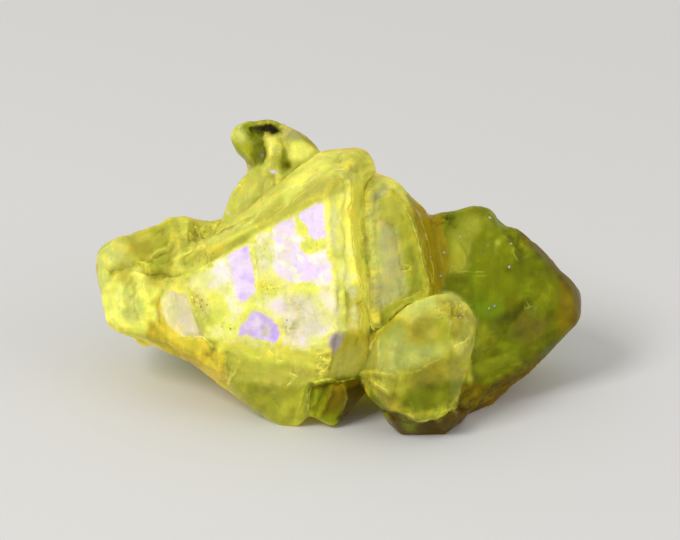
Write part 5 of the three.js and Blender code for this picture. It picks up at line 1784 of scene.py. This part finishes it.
def scatter_tree():
    """Geometry nodes: small angular bits half sunk in a skin, as thick as one of its attributes
    says."""
    tree = bpy.data.node_groups.new("Scattered bits", "GeometryNodeTree")
    add_sockets(tree, "INPUT", Skin="Geometry", Where="String", Density="Float",
                Smallest="Float", Largest="Float", Flatness="Float", Seed="Int",
                Finish="Material")
    add_sockets(tree, "OUTPUT", Bits="Geometry")
    w = Wires(tree)
    given = w.add("NodeGroupInput").outputs
    share = w.add("GeometryNodeInputNamedAttribute", {"Name": given["Where"]},
                  data_type="FLOAT").outputs["Attribute"]
    position = w.add("GeometryNodeInputPosition").outputs[0]
    up = w.add("ShaderNodeSeparateXYZ", {0: position}).outputs[2]
    above_floor = w.math("GREATER_THAN", up, LOWEST_BIT)
    inputs = {"Mesh": given["Skin"], "Density": w.product(share, above_floor, given["Density"]),
              "Seed": given["Seed"]}
    scattered = w.add("GeometryNodeDistributePointsOnFaces", inputs,
                      distribute_method="RANDOM").outputs
    bit = w.add("GeometryNodeMeshIcoSphere", {"Radius": 1.0, "Subdivisions": 1}).outputs["Mesh"]
    size = w.random("FLOAT", given["Smallest"], given["Largest"], 11)
    thinnest, thickest = BIT_SIDES
    shape = w.random("FLOAT_VECTOR", (thinnest,) * 3, (thickest,) * 3, 12)
    thickness = w.product(size, given["Flatness"])
    pressed = w.add("ShaderNodeCombineXYZ", {0: size, 1: size, 2: thickness}).outputs[0]
    turn = Vector((BIT_LEAN, BIT_LEAN, math.pi))
    spin = w.random("FLOAT_VECTOR", tuple(-turn), tuple(turn), 13)
    spin = w.add("FunctionNodeEulerToRotation", {0: spin}).outputs[0]
    inputs = {"Rotation": scattered["Rotation"], "Rotate By": spin}
    turned = w.add("FunctionNodeRotateRotation", inputs, rotation_space="LOCAL").outputs[0]
    inputs = {"Points": scattered["Points"], "Instance": bit, "Rotation": turned,
              "Scale": w.vector("MULTIPLY", shape, pressed)}
    placed = w.add("GeometryNodeInstanceOnPoints", inputs).outputs[0]
    whole = w.add("GeometryNodeRealizeInstances", {0: placed}).outputs[0]
    knocked = w.add("ShaderNodeTexNoise", {"Scale": 6.0 / MM, "Detail": 1.0}).outputs["Color"]
    knocked = w.vector("SUBTRACT", knocked, (0.5, 0.5, 0.5))
    inputs = {"Geometry": whole, "Offset": w.stretched(knocked, given["Smallest"])}
    angular = w.add("GeometryNodeSetPosition", inputs).outputs[0]
    inputs = {"Geometry": angular, "Material": given["Finish"]}
    w.add("NodeGroupOutput", {"Bits": w.add("GeometryNodeSetMaterial", inputs).outputs[0]})
    return tree


def place_bits(name, values):
    """Scatters bits on the cluster and makes them a plain piece."""
    tree = bpy.data.node_groups.get("Scattered bits") or scatter_tree()
    holder = as_object(name + "_holder", bpy.data.objects[CLUSTER].data.copy())
    modifier = holder.modifiers.new("Scatter", "NODES")
    modifier.node_group = tree
    for socket in tree.interface.items_tree:
        if socket.name in values:
            modifier[socket.identifier] = values[socket.name]
    graph = bpy.context.evaluated_depsgraph_get()
    mesh = bpy.data.meshes.new_from_object(holder.evaluated_get(graph))
    mesh.name = name
    bpy.data.meshes.remove(holder.data)
    piece = as_object(name, mesh)
    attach(piece, "root")


# ---------------------------------------------------------------- operators

# How thick crumbs and flecks of dust are beside their width.
CRUMB_FLATNESS = 0.75
DUST_FLATNESS = 0.25
# The two soft lights: where they stand and how wide they are, in metres, and where they point.
KEY_PLACE = (-0.30, -0.28, 0.42)
KEY_SIZE = 0.22
FILL_PLACE = (0.42, -0.22, 0.28)
FILL_SIZE = 0.35
LIT_PLACE = (0, 0, 0.01)
# What is nearer to the camera than this isn't drawn, in metres.
CAMERA_NEAR = 0.01


class CERUSSITE_OT_cluster(bpy.types.Operator):
    """Make the dressed crystal cluster in place of the plain solid"""

    bl_idname = "cerussite.make_cluster"
    bl_label = "Crystal Cluster"

    def execute(self, context):
        sizes = context.scene.cerussite_relief
        colours = context.scene.cerussite_colours
        mesh, faces = remeshed_copy(CLUSTER, sizes.grain)
        shape_cluster(mesh, faces, sizes, colours)
        mesh.polygons.foreach_set("use_smooth", [True] * len(mesh.polygons))
        cluster = as_object(CLUSTER, mesh)
        mesh.materials.append(cerussite_finish(mineral_skin(), colours))
        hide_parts(CAD_NODE)
        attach(cluster, "root")
        return {"FINISHED"}


class CERUSSITE_OT_crumbs(bpy.types.Operator):
    """Scatter loose crumbs, half sunk in the broken and etched skin"""

    bl_idname = "cerussite.scatter_crumbs"
    bl_label = "Crumbs"

    def execute(self, context):
        bits = context.scene.cerussite_bits
        finish = crumb_finish(bpy.data.node_groups["Mineral skin"])
        values = {"Where": "grainy", "Density": bits.crumb_density, "Seed": bits.seed,
                  "Smallest": bits.crumb_smallest, "Largest": bits.crumb_largest,
                  "Flatness": CRUMB_FLATNESS, "Finish": finish}
        place_bits("cerussite_crumbs", values)
        return {"FINISHED"}


class CERUSSITE_OT_dust(bpy.types.Operator):
    """Scatter the violet dust"""

    bl_idname = "cerussite.scatter_dust"
    bl_label = "Violet Dust"

    def execute(self, context):
        bits = context.scene.cerussite_bits
        finish = dust_finish(context.scene.cerussite_colours)
        values = {"Where": "dusty", "Density": bits.dust_density, "Seed": bits.seed + 1,
                  "Smallest": bits.dust_smallest, "Largest": bits.dust_largest,
                  "Flatness": DUST_FLATNESS, "Finish": finish}
        place_bits("violet_dust", values)
        return {"FINISHED"}


class CERUSSITE_OT_stage(bpy.types.Operator):
    """Set the floor, the soft lights and the camera"""

    bl_idname = "cerussite.set_stage"
    bl_label = "Stage"

    def execute(self, context):
        scene = context.scene
        stage = scene.cerussite_stage
        half = stage.floor_size / 2
        corners = [(-half, -half, 0), (half, -half, 0), (half, half, 0), (-half, half, 0)]
        mesh = bpy.data.meshes.new("floor")
        mesh.from_pydata(corners, [], [(0, 1, 2, 3)])
        mesh.materials.append(floor_finish(stage.floor_colour))
        as_object("floor", mesh)

        scene.world = bpy.data.worlds.new("Room")
        scene.world.use_nodes = True
        w = Wires(scene.world.node_tree)
        inputs = {"Color": (1.0, 1.0, 1.0, 1.0), "Strength": stage.sky}
        sky = w.add("ShaderNodeBackground", inputs)
        w.add("ShaderNodeOutputWorld", {"Surface": sky.outputs[0]})
        for name, place, power, size in (("key_light", KEY_PLACE, stage.key, KEY_SIZE),
                                         ("fill_light", FILL_PLACE, stage.fill, FILL_SIZE)):
            lamp = bpy.data.lights.new(name, "AREA")
            lamp.energy = power
            lamp.size = size
            made = as_object(name, lamp)
            made.location = place
            way = Vector(LIT_PLACE) - Vector(place)
            made.rotation_euler = way.to_track_quat("-Z", "Y").to_euler()

        camera = bpy.data.cameras.new("camera")
        camera.sensor_width = SENSOR
        camera.lens = FOCAL_PIXELS * SENSOR / PICTURE_WIDTH
        camera.clip_start = CAMERA_NEAR
        made = as_object("camera", camera)
        made.location = from_layout(EYE)
        made.rotation_euler = Euler((math.pi / 2 - LEAN, 0.0, 0.0))
        scene.camera = made
        scene.view_settings.view_transform = "Standard"
        return {"FINISHED"}


class CERUSSITE_PT_panel(bpy.types.Panel):
    """The cluster's makers and settings"""

    bl_idname = "CERUSSITE_PT_panel"
    bl_label = "Cerussite Crystal Cluster"
    bl_space_type = "VIEW_3D"
    bl_region_type = "UI"
    bl_category = "Cerussite"

    def draw(self, context):
        layout = self.layout
        for operator in (CERUSSITE_OT_cluster, CERUSSITE_OT_crumbs, CERUSSITE_OT_dust,
                         CERUSSITE_OT_stage):
            layout.operator(operator.bl_idname)
        for settings in (context.scene.cerussite_relief, context.scene.cerussite_colours,
                         context.scene.cerussite_bits, context.scene.cerussite_stage):
            box = layout.box()
            for name in settings.bl_rna.properties.keys():
                if name not in ("rna_type", "name"):
                    box.prop(settings, name)


CLASSES = (CerussiteRelief, CerussiteColours, CerussiteBits, CerussiteStage,
           CERUSSITE_OT_cluster, CERUSSITE_OT_crumbs, CERUSSITE_OT_dust, CERUSSITE_OT_stage,
           CERUSSITE_PT_panel)


def register():
    """Adds the settings, operators and panel to Blender."""
    for one in CLASSES:
        bpy.utils.register_class(one)
    bpy.types.Scene.cerussite_relief = PointerProperty(type=CerussiteRelief)
    bpy.types.Scene.cerussite_colours = PointerProperty(type=CerussiteColours)
    bpy.types.Scene.cerussite_bits = PointerProperty(type=CerussiteBits)
    bpy.types.Scene.cerussite_stage = PointerProperty(type=CerussiteStage)


def unregister():
    """Takes the settings, operators and panel out of Blender again."""
    del bpy.types.Scene.cerussite_stage
    del bpy.types.Scene.cerussite_bits
    del bpy.types.Scene.cerussite_colours
    del bpy.types.Scene.cerussite_relief
    for one in reversed(CLASSES):
        bpy.utils.unregister_class(one)


def main():
    """Makes every piece and the stage."""
    register()
    bpy.ops.cerussite.make_cluster()
    bpy.ops.cerussite.scatter_crumbs()
    bpy.ops.cerussite.scatter_dust()
    bpy.ops.cerussite.set_stage()


if __name__ == "__main__":
    main()
